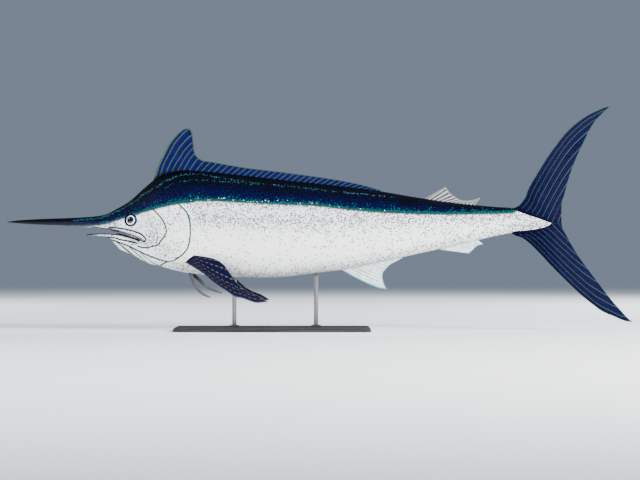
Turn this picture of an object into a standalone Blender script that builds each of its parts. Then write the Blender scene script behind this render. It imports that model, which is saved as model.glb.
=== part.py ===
"""A life-size black marlin, swimming level, carried by a plain display stand.

The fish faces -X with its left side towards -Y, and up is +Z. The tables are in millimetres:
X runs back from the tip of the bill, and Z is the height above the level of that tip.
The origin lies on the floor under the middle of the fish's overall length.
"""

import math

import bmesh
import bpy
import numpy as np
from mathutils import Matrix, Vector

MM = 0.001

# Overall sizes.
LENGTH = 3446.0  # bill tip to the tip of the lower tail lobe
AXIS_HEIGHT = 600.0  # bill tip above the floor
GAP = 0.3  # between two neighbouring pieces
CUT_GAP = 0.35  # round a piece that is let into another
ARC_GAP = 0.4  # behind the gill openings

# Outline of the fish from the side.
BACK_LINE = (
    (0, 2), (60, 10), (192, 18), (358, 24), (490, 33), (545, 44), (589, 66), (666, 110),
    (754, 187), (820, 240), (896, 272), (985, 285), (1095, 278), (1282, 258.5), (1557, 227),
    (1832, 198), (2052, 170), (2272, 133), (2492, 103), (2712, 82.5), (2778, 79), (2827, 60),
    (2910, 32), (2981, 6.6), (2995, 2),
)
BELLY_LINE = (
    (421, -74), (481, -78), (520, -83.6), (561, -91), (595.5, -125), (621, -151), (660, -168),
    (709.5, -191), (753.5, -216), (797.5, -234), (841.5, -242), (885.5, -256), (973.5, -277),
    (1083.5, -291.5), (1281.5, -305), (1479.5, -304), (1677.5, -283), (1853.5, -261),
    (2073.5, -214.5), (2293.5, -168), (2513.5, -118), (2711.5, -72.6), (2777.5, -60.5),
    (2869, -53), (2953, -37), (2984, -23.6), (2995, -14),
)
# The bill's and the upper lip's lower edge to the corner of the mouth at 770, then the rear
# edge of the jaw, then the top of the throat.
LIP_LINE = (
    (0, -2), (60, -8), (192, -17), (324.5, -21.5), (423.5, -27.5), (500, -34), (533.5, -40),
    (576, -48), (610.5, -53), (660, -68), (716, -88), (744, -100), (770, -107), (786.5, -132),
    (806, -165), (825, -200), (855, -210), (887, -217), (950, -232), (1014, -240),
)
JAW_LINE = (
    (423, -71.5), (456.5, -65.5), (495, -64), (550, -64), (588.5, -65.5), (624, -70.4),
    (660, -78.7), (687.5, -86.4), (716, -95), (744, -104.5), (770, -107.3),
)
THROAT_LINE = (
    (561, -91), (564, -93), (601, -105.6), (632, -117), (682.5, -136.4), (716, -153.5),
    (781, -184), (825, -200), (855, -210), (887, -217),
)
LIP_HEIGHT = (
    (534, 8), (568, 15), (598, 21), (632, 24), (660, 27), (702, 29), (736, 32), (753, 30),
    (770, 22), (806, 55), (887, 75), (1014, 78),
)
# The rear edge of the cheek and of the gill cover, as (height, distance behind the bill tip).
CHEEK_ARC = (
    (-165, 806), (-127.6, 833), (-100.7, 855), (-72.6, 877), (-44, 883), (-11, 874.5),
    (17, 858), (45, 833), (93, 793), (132, 775.5), (191, 759), (230, 750),
)
GILL_ARC = (
    (-240, 860), (-217, 887), (-210, 922), (-190, 956), (-171, 978.5), (-140, 1001),
    (-87, 1013.5), (-22, 1014), (26, 1006.5), (54, 992), (79, 970), (96, 950), (176, 929.5),
    (284, 907), (300, 905),
)

# Outline of the fish from above, and where its sections are widest.
HALF_WIDTH = (
    (0, 2), (60, 8), (192, 17), (358, 23.5), (424, 28), (500, 36), (534, 41), (590, 54),
    (660, 72), (754, 107), (850, 135), (950, 153), (1050, 162), (1200, 168), (1400, 166),
    (1600, 156), (1800, 140), (2000, 119), (2200, 95), (2400, 70), (2560, 51), (2712, 36),
    (2790, 29), (2870, 21), (2950, 13), (2995, 9),
)
WIDEST_LEVEL = (
    (534, 0.40), (685, 0.52), (786, 0.595), (896, 0.59), (1017, 0.55), (1281, 0.50),
    (1611, 0.475), (2161, 0.46), (2711, 0.50),
)
JAW_HALF_WIDTH = (
    (421, 3), (456, 12), (495, 20), (534, 28), (594, 42), (650, 58), (704, 78), (760, 100),
)
EDGE_HALF_WIDTH = ((0, 1), (534, 1), (700, 4), (2640, 4), (2780, 6), (2995, 6))
JAW_EDGE_SHARE = 1 / 3  # of the jaw's half-width, kept along its lower edge
UPPER_ROUNDING = 1.75
LOWER_ROUNDING = 2.3
JAW_ROUNDING = 2.2

# Where the body is divided, and the rings of points along each part.
BILL_END = 534.0
FACE_BLEND_END = 735.0
THROAT_START = 561.0
TRUNK_END = 2640.0
TAIL_END = 2995.0
FIRST_FLAT_RING = 1250.0
BILL_RINGS = (0, 12, 35, 70, 120, 185, 260, 340, 420, 480, BILL_END - GAP / 2)
HEAD_RINGS = (BILL_END + GAP / 2, 556, 578, 600, 625, 655, 690, 720, 744, 757, 770, 788)
GILL_RINGS = (806, 820, 825, 840, 855, 871, 887)
JAW_RINGS = (423, 430, 445, 470, 500, 534, 561)
THROAT_SEAM_RINGS = (568, 600, 632, 669, 700, 733, 757, 770, 788, 806, 820)
TRUNK_BLENDS = (0, 0.1, 0.22, 0.36, 0.52, 0.68, 0.84)
TRUNK_RINGS = (
    FIRST_FLAT_RING, 1330, 1420, 1510, 1600, 1690, 1780, 1870, 1960, 2050, 2140, 2230, 2320,
    2410, 2500, 2580, TRUNK_END - GAP / 2,
)
TAIL_RINGS = (
    TRUNK_END + GAP / 2, 2690, 2735, 2780, 2827, 2869, 2910, 2950, 2981, TAIL_END,
)
HEAD_LEVELS = (0, 0.015, 0.05, 0.11, 0.19, 0.28, 0.36, 0.44, 0.52, 0.6, 0.68, 0.76, 0.86, 1)
LIP_LEVELS = (0.08, 0.4, 0.7, 1)
JAW_LEVELS = (0, 0.12, 0.34, 0.46, 0.58, 0.78, 0.94, 1)
THROAT_LEVELS = (0, 0.3, 0.58, 0.8, 0.94, 1)
BILL_SIDES = 7
ARC_HEIGHTS = np.linspace(300, -240, 600)  # where the gill openings are sampled
TAIL_LEVELS = (0, 0.05, 0.14, 0.24, 0.30, 0.36, 0.42, 0.5, 0.58, 0.64, 0.70, 0.76, 0.86, 0.95, 1)

# Relief of the head and tail.
LIP_RELIEF = 5.0
LIP_GROOVE = -2.5
JAW_LIP_RELIEF = 2.0
JAW_GROOVE_ROW = 3
JAW_GROOVE = -2.5
JAW_RELIEF_START = (440, 520)
JAW_RELIEF_END = (700, 757)
TONGUE_RINGS = (604, 625, 632, 655, 669, 690, 700, 720, 733, 744, 757)
TONGUE_SHARE = 0.62
TONGUE_LEVELS = (0, 0.3, 0.7, 1)
TONGUE_ROUNDING = (0.8, 1.0, 1.0, 0.8)
LIP_FADE = ((534, 0), (575, 1), (745, 1), (770, 0))
FOLD_STARTS = (600, 669, 733)
FOLD_STEP = 1.0
FOLD_RELIEF = 4.0
FOLD_FADE = (1, 1, 1, 0.8, 0.4, 0)  # down each ring of the throat
THROAT_SLANT = ((568, 574), (632, 665), (720, 765), (806, 820), (855, 832), (887, 839))
KEEL_LEVELS = (0.36, 0.64)
KEEL_HEIGHT = ((2640, 0), (2735, 3), (2827, 14), (2869, 15), (2950, 8), (2995, 0))
GILL_COVER_THICKNESS = 12.0
GILL_COVER_LIFT = 4.0
GILL_COVER_FRONT_LIFT = 0.15  # share of the lift at the front edge
GILL_COVER_TOP_ROW = 5
GILL_COVER_FRONT = 0.9
CUTTER_REACH = 15.0

# Eyes and nostrils.
EYE_CENTRE = (685.0, 10.0)
EYE_RADIUS = 33.0
EYE_BULGE = 20.0
EYE_SUNK = 11.0
NOSTRILS = ((643.5, 14.0), (630.0, 12.0))
NOSTRIL_RADIUS = 3.2
EYE_FACETS = (16, 8)  # round the ball, and from pole to pole
NOSTRIL_FACETS = (8, 6)
SLOPE_STEP = 2.0  # either side of a point where the skin's slope is measured

# Fins. A key ray is (place along the root, X of the ray's tip, Z of the tip).
FIN_NOTCH = 0.02  # how much shorter the membrane is than the rays
FIN_BOW_FADE = 0.3  # share of the fin over which the leading edge's bow fades out
BOW_FADE_POWER = 1.5
CORNER_MARGIN = 1.0  # least distance between a root's end and its next corner
THIN_FIN_HALF = (4.0, 1.5, 0.75)  # half-thickness at the root, of a ray and of the membrane
TAIL_FIN_HALF = (6.0, 1.8, 0.9)
FIRST_DORSAL_RAYS = (
    (804, 982, 515), (825, 995, 516), (842, 1011, 510), (869, 1022, 480), (897, 1026, 447),
    (930, 1029, 415), (963, 1033, 384), (996, 1051, 356), (1028, 1082, 338),
    (1062, 1118, 333), (1150, 1206, 317), (1262, 1318, 299), (1475, 1531, 273),
    (1720, 1776, 239), (1880, 1935, 209), (1975, 2020, 186), (2048, 2062, 173),
)
FIRST_DORSAL_LEAD = ((831.6, 316), (858, 369.6), (885, 423), (924.5, 473), (964.7, 508))
SECOND_DORSAL_RAYS = (
    (2290, 2409, 191.5), (2315, 2416, 187), (2350, 2436, 160), (2390, 2470, 134),
    (2440, 2510, 118), (2490, 2548, 119), (2567, 2605, 134),
)
FIRST_ANAL_RAYS = (
    (1832, 2094, -371), (1858, 2082, -354), (1890, 2071, -328), (1925, 2066, -302),
    (1960, 2069, -281), (2000, 2084, -260), (2040, 2107, -236), (2085, 2134, -221),
    (2130, 2162, -206), (2168, 2180, -197),
)
FIRST_ANAL_LEAD = ((1911, -303), (1986.6, -340), (2037, -360))
SECOND_ANAL_RAYS = (
    (2350, 2542, -174), (2385, 2550, -166), (2425, 2564, -153), (2470, 2580, -137),
    (2520, 2597, -127), (2585, 2621, -123),
)
UPPER_TAIL_RAYS = (
    (0, 3327.5, 640), (0.08, 3312, 627), (0.18, 3270, 590), (0.30, 3222, 533),
    (0.42, 3176, 445), (0.54, 3131, 349), (0.66, 3092, 244), (0.78, 3066, 150),
    (0.86, 3052, 102), (0.93, 3051, 45), (1, 3051, -5.5),
)
UPPER_TAIL_LEAD = (
    (2818, 93.5), (2846, 130), (2865.5, 181.5), (2909.5, 258.5), (2997.5, 396),
    (3085.5, 506), (3173.5, 577.5), (3261.5, 621.5), (3305.5, 638),
)
LOWER_TAIL_RAYS = (
    (0, 3446, -552), (0.08, 3425, -537), (0.2, 3375, -485), (0.33, 3316, -417),
    (0.46, 3253, -334), (0.58, 3196, -259), (0.69, 3147, -192), (0.79, 3107, -127),
    (0.88, 3078, -74), (0.95, 3058, -38), (1, 3051, -6.5),
)
LOWER_TAIL_LEAD = (
    (2795, -76), (2832, -87), (2865.5, -112), (2909.5, -154), (2997.5, -247.5), (3085.5, -335.5),
    (3173.5, -416), (3261.5, -484), (3349.5, -524), (3393.5, -543),
)
TAIL_SPLIT_HEIGHT = -6.0
TAIL_FORK = 3051.0
UPPER_TAIL_START = 2780.0
LOWER_TAIL_START = 2765.0
TAIL_BOW_FADE = 1.0
TAIL_RAY_PITCH = 24.0
TAIL_SHARES = (0, 0.045, 0.1, 0.19, 0.33, 0.5, 0.67, 0.84, 1)
TAIL_NOTCH = 0.006
PECTORAL_ROOT = ((992, -222), (1036, -182))
PECTORAL_RAYS = (
    (0, 1442, -434), (0.25, 1397, -406), (0.4, 1326, -376), (0.55, 1267, -326),
    (0.68, 1231, -274), (0.8, 1197, -231), (0.9, 1150, -203), (1, 1095, -190),
)
PECTORAL_LEAD = (
    (1086, -280), (1150, -334), (1221, -381), (1263, -408), (1305, -416), (1368, -438),
)
PECTORAL_SPREAD = 0.36
PECTORAL_SINK = 28.0
PECTORAL_ROOT_SHIFT = 4.0
PECTORAL_COUNT = 11
PECTORAL_ROWS = 8
PECTORAL_NOTCH = 0.01
PECTORAL_BOW_FADE = 0.8
PECTORAL_HALF = 9.0
PECTORAL_REAR_SHARE = 0.4  # of the half-thickness, left at the rear edge
PECTORAL_REAR_POWER = 0.7
PECTORAL_TAPER = 0.78  # share of the half-thickness lost towards the tip
PECTORAL_MEMBRANE_SHARE = 0.72
LEFT_PELVIC = (
    (1007, -262), (1011, -284), (1022, -317), (1043, -360), (1080, -397), (1124, -416),
)
RIGHT_PELVIC = (
    (1020, -262), (1027, -288), (1061, -322), (1107, -364), (1150, -381), (1185, -393),
)
PELVIC_WIDTH = ((0, 16), (0.6, 12), (1, 5))
PELVIC_HALF_THICKNESS = ((0, 4.5), (1, 1.5))
PELVIC_OFFSET = 15.0
PELVIC_SPREAD = 12.0
PELVIC_ROWS = 12
PELVIC_RIDGES = (0.8, 0.6, 1.0, 0.6, 0.8)  # shares of the thickness across the strap

# The display stand.
BASE_SIZE = (1.08, 0.46, 0.024)
BASE_CENTRE = 1460.0
BASE_CORNER = 0.045
BASE_CORNER_STEPS = 6
BASE_CHAMFER = 0.004
BASE_CHAMFER_STEPS = 2
ROD_RADIUS = 0.012
ROD_PLACES = {"front": 1250.0, "rear": 1700.0}
ROD_LET_IN = 30.0
ROD_SIDES = 24
COLLAR_RADIUS = 0.028
COLLAR_HEIGHT = 0.012
COLLAR_BEVEL = 0.004
COLLAR_SIDES = 20
COLLAR_MERGE = 1e-5


def smooth_line(points):
    """A curve through the points that never swings past them."""
    along = np.array([point[0] for point in points], float)
    value = np.array([point[1] for point in points], float)
    step = np.diff(along)
    slope = np.diff(value) / step
    tangent = np.zeros(len(along))
    tangent[0] = slope[0]
    tangent[-1] = slope[-1]
    for i in range(1, len(along) - 1):
        if slope[i - 1] * slope[i] > 0:
            before = 2 * step[i] + step[i - 1]
            after = step[i] + 2 * step[i - 1]
            tangent[i] = (before + after) / (before / slope[i - 1] + after / slope[i])

    def curve(at):
        at = np.clip(at, along[0], along[-1])
        i = np.clip(np.searchsorted(along, at) - 1, 0, len(step) - 1)
        t = (at - along[i]) / step[i]
        rise = value[i] * (1 - t) ** 2 * (1 + 2 * t) + value[i + 1] * t**2 * (3 - 2 * t)
        return rise + step[i] * t * (1 - t) * (tangent[i] * (1 - t) - tangent[i + 1] * t)

    return curve


def straight_line(points):
    """Straight runs through the points."""
    along, value = np.array(points, float).T
    return lambda at: np.interp(at, along, value)


def sampled(line, stations):
    """The same line as straight runs between the stations, which two neighbours then share."""
    return straight_line([(station, float(line(station))) for station in stations])


def ease(value, start, end):
    t = np.clip((value - start) / (end - start), 0, 1)
    return t * t * (3 - 2 * t)


back = smooth_line(BACK_LINE)
belly = smooth_line(BELLY_LINE)
half_width = smooth_line(HALF_WIDTH)
widest_level = smooth_line(WIDEST_LEVEL)
jaw_half_width = smooth_line(JAW_HALF_WIDTH)
edge_half_width = straight_line(EDGE_HALF_WIDTH)
lip_height = smooth_line(LIP_HEIGHT)
keel_height = smooth_line(KEEL_HEIGHT)
cheek_arc = smooth_line(CHEEK_ARC)
gill_arc = smooth_line(GILL_ARC)
throat_slant = smooth_line(THROAT_SLANT)
lip_smooth = smooth_line(LIP_LINE)
lip = sampled(lip_smooth, BILL_RINGS[:-1] + HEAD_RINGS + GILL_RINGS + (950, 1014))
throat_smooth = smooth_line(THROAT_LINE)
throat_seam = [(at, float(throat_smooth(at))) for at in (THROAT_START,) + THROAT_SEAM_RINGS]
throat_top = straight_line(throat_seam + [(at, float(lip(at))) for at in GILL_RINGS[2:]])
open_jaw = smooth_line(JAW_LINE)


def seam_gap(line, at):
    """Half the gap between two pieces along a seam, measured upright."""
    slope = (line(at + 1.0) - line(at - 1.0)) / 2.0
    return GAP / 2 * np.sqrt(1 + slope**2)


def head_low(at):
    return lip(at) + seam_gap(lip, at)


def jaw_top(at):
    return np.minimum(open_jaw(at), lip(at) - seam_gap(lip, at))


def jaw_low(at):
    return np.where(at <= THROAT_START, belly(at), throat_top(at) + seam_gap(throat_top, at))


def oval(level, widest, upper, lower):
    """Share of the greatest half-width at a level from 0, the top, to 1, the bottom."""
    level = np.clip(level, 0, 1)
    above = (1 - np.clip((widest - level) / widest, 0, 1) ** upper) ** (1 / upper)
    below = np.sqrt(1 - np.clip((level - widest) / (1 - widest), 0, 1) ** lower)
    return np.where(level < widest, above, below)


def body_width(x, z):
    """Half-width of the fish at a point of its side view."""
    level = (back(x) - z) / (back(x) - belly(x))
    full = half_width(x) * oval(level, widest_level(x), UPPER_ROUNDING, LOWER_ROUNDING)
    return np.maximum(full, edge_half_width(x))


def bill_width(x, z):
    level = np.clip((back(x) - z) / (back(x) - lip_smooth(x)), 0, 1)
    full = half_width(x) * np.sqrt(1 - (2 * level - 1) ** 2)
    return np.maximum(full, edge_half_width(x))


def head_width(x, z):
    """The bill's own section at the front, the whole body's section from the cheek back."""
    share = ease(x, BILL_END, FACE_BLEND_END)
    return bill_width(x, z) * (1 - share) + body_width(x, z) * share


def jaw_width(x, z):
    depth = np.clip((open_jaw(x) - z) / (open_jaw(x) - belly(x)), 0, 1)
    own = jaw_half_width(x) * np.sqrt(1 - depth**JAW_ROUNDING)
    share = ease(x, BILL_END, FACE_BLEND_END)
    edge = np.minimum(edge_half_width(x), jaw_half_width(x) * JAW_EDGE_SHARE)
    return np.maximum(own * (1 - share) + body_width(x, z) * share, edge)


def place(point):
    """A point of the tables, in millimetres, in the frame of the model."""
    x, y, z = (float(value) for value in point)
    return Vector(((x - LENGTH / 2) * MM, y * MM, (z + AXIS_HEIGHT) * MM))


def plastic(name, colour, roughness, metallic=0.0):
    material = bpy.data.materials.new(name)
    material.use_nodes = True
    shader = material.node_tree.nodes["Principled BSDF"]
    shader.inputs["Base Color"].default_value = (*colour, 1.0)
    shader.inputs["Roughness"].default_value = roughness
    shader.inputs["Metallic"].default_value = metallic
    return material


def add_object(name, mesh, collection, material=None):
    """Turns a bmesh into an object, shaded smooth up to its creases."""
    data = bpy.data.meshes.new(name)
    mesh.to_mesh(data)
    mesh.free()
    data.shade_smooth()
    data.set_sharp_from_angle(angle=math.radians(40))
    made = bpy.data.objects.new(name, data)
    collection.objects.link(made)
    if material:
        data.materials.append(material)
    return made


def body_between(near, far):
    """One closed mesh between two grids of points of one layout, joined round their borders."""
    mesh = bmesh.new()
    sides = []
    for grid in (near, far):
        sides.append([[mesh.verts.new(place(point)) for point in line] for line in grid])
    lines, points = near.shape[:2]
    for side in sides:
        for i in range(lines - 1):
            for j in range(points - 1):
                mesh.faces.new((side[i][j], side[i][j + 1], side[i + 1][j + 1]))
                mesh.faces.new((side[i][j], side[i + 1][j + 1], side[i + 1][j]))
    border = [(0, j) for j in range(points)] + [(i, points - 1) for i in range(1, lines)]
    border += [(lines - 1, j) for j in range(points - 2, -1, -1)]
    border += [(i, 0) for i in range(lines - 2, 0, -1)]
    for (i, j), (k, m) in zip(border, border[1:] + border[:1]):
        mesh.faces.new((sides[0][i][j], sides[0][k][m], sides[1][k][m]))
        mesh.faces.new((sides[0][i][j], sides[1][k][m], sides[1][i][j]))
    bmesh.ops.recalc_face_normals(mesh, faces=mesh.faces)
    return mesh


def flesh(rings, width, relief=0.0):
    """A part of the body, from rings of side-view points and its half-width at each of them."""
    x, z = np.moveaxis(np.array(rings, float), -1, 0)
    y = width(x, z) + relief
    return body_between(np.stack((x, -y, z), -1), np.stack((x, y, z), -1))


def offset_line(points, distance):
    """The line moved sideways, to the left of its run, with mitred corners."""
    points = np.array(points, float)
    run = np.diff(points, axis=0)
    run /= np.linalg.norm(run, axis=1)[:, None]
    side = np.stack((-run[:, 1], run[:, 0]), -1)
    before = np.vstack((side[:1], side))
    after = np.vstack((side, side[-1:]))
    middle = before + after
    middle /= np.linalg.norm(middle, axis=1)[:, None]
    return points + distance * middle / np.sum(middle * after, axis=1)[:, None]


def head_height(x, row):
    """Height of one row of the head's points: down to the lip's groove, then over the lip."""
    top, low = back(x), head_low(x)
    groove = low + lip_height(x)
    if row < len(HEAD_LEVELS):
        return top + (groove - top) * HEAD_LEVELS[row]
    return groove + (low - groove) * LIP_LEVELS[row - len(HEAD_LEVELS)]


HEAD_ROWS = len(HEAD_LEVELS) + len(LIP_LEVELS)


def head_ring_on(arc):
    """Where each row of the head crosses an arc of the side view."""
    across = arc(ARC_HEIGHTS)
    ring = []
    for row in range(HEAD_ROWS):
        below = head_height(across, row) - ARC_HEIGHTS
        x = float(np.interp(0.0, below, across))
        ring.append((x, float(head_height(x, row))))
    return np.array(ring)


def head_ring(x_line):
    return np.array([(x, float(head_height(x, row))) for row, x in enumerate(x_line)])


cheek_ring = head_ring_on(cheek_arc)
gill_ring = head_ring_on(gill_arc)


def cheek_to_gill(station):
    """A ring between the cheek's edge and the gill cover's, by its place on the lower seam."""
    share = (station - GILL_RINGS[0]) / (GILL_RINGS[-1] - GILL_RINGS[0])
    ring = cheek_ring[:, 0] * (1 - share) + gill_ring[:, 0] * share
    ring[-1] = station
    return head_ring(ring)


def throat_ring(station, top_line):
    """A slanting ring of the throat, down from one place on its seam with the jaw."""
    levels = np.array(THROAT_LEVELS)
    x = station + (throat_slant(station) - station) * levels
    top = np.array([float(top_line(value)) for value in x])
    return np.stack((x, top + (belly(x) - top) * levels), -1)


def throat_low(at):
    return throat_top(at) - seam_gap(throat_top, at)


def make_bill():
    levels = (1 - np.cos(np.linspace(0, math.pi, BILL_SIDES))) / 2
    rings = []
    for x in BILL_RINGS:
        rings.append([(x, back(x) + (lip_smooth(x) - back(x)) * level) for level in levels])
    return flesh(rings, bill_width)


def head_relief(rings):
    """The upper lip's band and the groove above it."""
    fade = straight_line(LIP_FADE)
    relief = np.zeros(rings.shape[:2])
    groove = len(HEAD_LEVELS) - 1
    shown = fade(rings[:, :, 0])
    relief[:, groove] = LIP_GROOVE
    relief[:, groove + 1 :] = LIP_RELIEF
    return relief * shown


def make_head():
    rings = []
    for station in HEAD_RINGS:
        share = (station - HEAD_RINGS[0]) / (GILL_RINGS[0] - HEAD_RINGS[0])
        rings.append(head_ring(HEAD_RINGS[0] * (1 - share) + cheek_ring[:, 0] * share))
        rings[-1][-1] = (station, head_low(station))
    rings += [cheek_to_gill(station) for station in GILL_RINGS]
    rings[-1] = offset_line(rings[-1], -ARC_GAP / 2)
    rings[-1][0, 1] = back(rings[-1][0, 0])
    rings = np.array(rings)
    return flesh(rings, head_width, head_relief(rings)), rings


def make_jaw():
    levels = np.array(JAW_LEVELS)
    rings = []
    for x in JAW_RINGS + THROAT_SEAM_RINGS:
        z = jaw_top(x) + (jaw_low(x) - jaw_top(x)) * levels
        rings.append(np.stack((np.full(len(levels), x), z), -1))
    rings = np.array(rings)
    relief = np.zeros(rings.shape[:2])
    x = rings[:, 0, 0]
    shown = ease(x, *JAW_RELIEF_START) * (1 - ease(x, *JAW_RELIEF_END))
    relief[:, 1] = JAW_LIP_RELIEF * shown
    relief[:, JAW_GROOVE_ROW] = JAW_GROOVE * shown
    return flesh(rings, jaw_width, relief)


def make_tongue():
    """The tongue, which fills the middle of the narrow gap between the jaws."""
    floor = sampled(jaw_top, JAW_RINGS + THROAT_SEAM_RINGS)
    rings = []
    for x in TONGUE_RINGS:
        top = lip(x) - GAP
        low = floor(x) + GAP
        rings.append([(x, top + (low - top) * level) for level in TONGUE_LEVELS])

    def width(x, z):
        rounding = np.array(TONGUE_ROUNDING)[None, :]
        return np.minimum(jaw_half_width(x), half_width(x)) * TONGUE_SHARE * rounding

    return flesh(rings, width)


def make_throat():
    """The throat with its overlapping folds, each rising towards its rear edge."""
    stations, rises = [], []
    fold = 0
    for station in THROAT_SEAM_RINGS + GILL_RINGS[2:]:
        starts = FOLD_STARTS[fold - 1] if fold else THROAT_SEAM_RINGS[0]
        ends = FOLD_STARTS[fold] if fold < len(FOLD_STARTS) else GILL_RINGS[-1]
        rise = FOLD_RELIEF * (station - starts) / (ends - starts) * (fold < len(FOLD_STARTS))
        stations.append(station)
        rises.append(rise)
        if station == ends and fold < len(FOLD_STARTS):
            stations.append(station + FOLD_STEP)
            rises.append(0.0)
            fold += 1
    rings = [throat_ring(station, throat_low) for station in stations]
    rings[-1] = offset_line(rings[-1], -ARC_GAP / 2)
    rings[-1][-1, 1] = belly(rings[-1][-1, 0])
    relief = np.outer(rises, FOLD_FADE)
    return flesh(rings, jaw_width, relief)


def trunk_rings():
    nominal = np.vstack((gill_ring[:-1], throat_ring(GILL_RINGS[-1], throat_top)))
    front = offset_line(nominal, ARC_GAP / 2)
    rows = len(front)
    front_levels = (back(front[:, 0]) - front[:, 1]) / (back(front[:, 0]) - belly(front[:, 0]))
    front_levels[0] = 0
    front_levels[-1] = 1
    levels = (1 - np.cos(np.linspace(0, math.pi, rows))) / 2
    rings = []
    for share in TRUNK_BLENDS:
        x = front[:, 0] * (1 - share) + FIRST_FLAT_RING * share
        at = front_levels * (1 - share) + levels * share
        rings.append(np.stack((x, back(x) + (belly(x) - back(x)) * at), -1))
    for station in TRUNK_RINGS:
        x = np.full(rows, station)
        rings.append(np.stack((x, back(x) + (belly(x) - back(x)) * levels), -1))
    return np.array(rings)


def tail_rings():
    levels = np.array(TAIL_LEVELS)
    return np.array([
        np.stack((np.full(len(levels), x), back(x) + (belly(x) - back(x)) * levels), -1)
        for x in TAIL_RINGS
    ])


def make_tail(rings):
    """The tail's stem with its two pairs of keels."""
    relief = np.zeros(rings.shape[:2])
    for level in KEEL_LEVELS:
        relief[:, TAIL_LEVELS.index(level)] = keel_height(rings[:, 0, 0])
    return flesh(rings, body_width, relief)


def gill_cover_rings():
    rings = []
    for station in GILL_RINGS:
        rings.append(cheek_to_gill(station)[GILL_COVER_TOP_ROW:])
    rings[0] = rings[0] + np.array((GILL_COVER_FRONT, 0))
    rings[0][-1, 1] = head_low(rings[0][-1, 0])
    rings[-1] = offset_line(rings[-1], -ARC_GAP / 2)
    return np.array(rings)


def gill_cover_grid(rings, side, depth_in, depth_out):
    """Inner and outer faces of a plate that lies in the head's own surface."""
    x, z = np.moveaxis(rings, -1, 0)
    y = head_width(x, z)
    inner = np.stack((x, side * (y - depth_in), z), -1)
    outer = np.stack((x, side * (y + depth_out), z), -1)
    return inner, outer


def make_gill_cover(side):
    rings = gill_cover_rings()
    lift = np.linspace(GILL_COVER_FRONT_LIFT, 1, len(rings))[:, None] * GILL_COVER_LIFT
    return body_between(*gill_cover_grid(rings, side, GILL_COVER_THICKNESS, lift))


def make_gill_recess(side):
    """The room for a gill cover, open to the rear and below."""
    rings = gill_cover_rings()
    rings[:, 0, 1] += CUT_GAP
    rings[0, :, 0] -= CUT_GAP
    inner, outer = gill_cover_grid(rings, side, GILL_COVER_THICKNESS + CUT_GAP, CUTTER_REACH)
    grids = []
    for grid in (inner, outer):
        behind = grid[-1:] + np.array((CUTTER_REACH, 0, 0))
        grid = np.concatenate((grid, behind), 0)
        below = grid[:, -1:] + np.array((0, 0, -CUTTER_REACH))
        grids.append(np.concatenate((grid, below), 1))
    return body_between(*grids)


def ellipsoid(centre, outward, radius, bulge, facets):
    """A flattened ball whose short axis points outward."""
    mesh = bmesh.new()
    bmesh.ops.create_uvsphere(mesh, u_segments=facets[0], v_segments=facets[1], radius=1.0)
    size = Matrix.Diagonal((radius * MM, radius * MM, bulge * MM, 1))
    turn = Vector((0, 0, 1)).rotation_difference(outward).to_matrix().to_4x4()
    bmesh.ops.transform(mesh, matrix=Matrix.Translation(centre) @ turn @ size, verts=mesh.verts)
    return mesh


def head_surface(at, side):
    """The point of the head's skin at a place of the side view, and the direction outward."""
    x, z = at
    y = float(head_width(x, z))
    step = SLOPE_STEP
    slope_x = float(head_width(x + step, z) - head_width(x - step, z)) / (2 * step)
    slope_z = float(head_width(x, z + step) - head_width(x, z - step)) / (2 * step)
    return place((x, side * y, z)), Vector((-slope_x, side, -slope_z)).normalized()


def make_eye(side, growth=0.0):
    surface, outward = head_surface(EYE_CENTRE, side)
    centre = surface - outward * EYE_SUNK * MM
    return ellipsoid(centre, outward, EYE_RADIUS + growth, EYE_BULGE + growth, EYE_FACETS)


def make_nostril(at, side):
    surface, outward = head_surface(at, side)
    return ellipsoid(surface, outward, NOSTRIL_RADIUS, NOSTRIL_RADIUS, NOSTRIL_FACETS)


def stretch(line, start, end):
    """The run of a line between two places along X, with its own corners kept."""
    line = np.array(line, float)
    inside = line[(line[:, 0] > start + CORNER_MARGIN) & (line[:, 0] < end - CORNER_MARGIN)]
    ends = [(x, float(np.interp(x, line[:, 0], line[:, 1]))) for x in (start, end)]
    return np.vstack((ends[:1], inside, ends[1:]))


def divided(line, pitch):
    """Each straight run cut into equal steps, two to a ray, so that rays stand on its corners."""
    points = [line[0]]
    for start, end in zip(line[:-1], line[1:]):
        steps = 2 * max(1, round(float(np.linalg.norm(end - start)) / pitch))
        points += [start + (end - start) * step / steps for step in range(1, steps + 1)]
    return np.array(points)


def bow_of(start, tip, lead):
    """How far a leading edge bows out from the straight line between its ends."""
    axis = tip - start
    length = float(np.linalg.norm(axis))
    axis = axis / length
    side = np.array((-axis[1], axis[0]))
    bows = [(0.0, 0.0)]
    for point in np.array(lead, float):
        bows.append((float((point - start) @ axis) / length, float((point - start) @ side)))
    bows.append((1.0, 0.0))
    return smooth_line(bows), length


def ray_grid(root, tips, lead, shares, fade):
    """Points along every ray, bowed like the leading edge near it and straight further back."""
    bow, length = bow_of(root[0], tips[0], lead)
    axis = tips - root
    side = np.stack((-axis[:, 1], axis[:, 0]), -1) / length
    along = np.linspace(0, 1, len(root))
    kept = np.clip(1 - along / fade, 0, 1) ** BOW_FADE_POWER
    bend = np.array([float(bow(share)) for share in shares])
    grid = root[:, None] + axis[:, None] * np.array(shares)[None, :, None]
    return grid + side[:, None] * (kept[:, None] * bend)[:, :, None]


def ray_tips(places, key_rays, root, notch):
    """The tips of the rays, with the membrane between two of them a little shorter."""
    tip_x = smooth_line([(ray[0], ray[1]) for ray in key_rays])
    tip_z = smooth_line([(ray[0], ray[2]) for ray in key_rays])
    tips = np.stack((tip_x(places), tip_z(places)), -1)
    tips[1::2] -= (tips[1::2] - root[1::2]) * notch
    return tips


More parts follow.
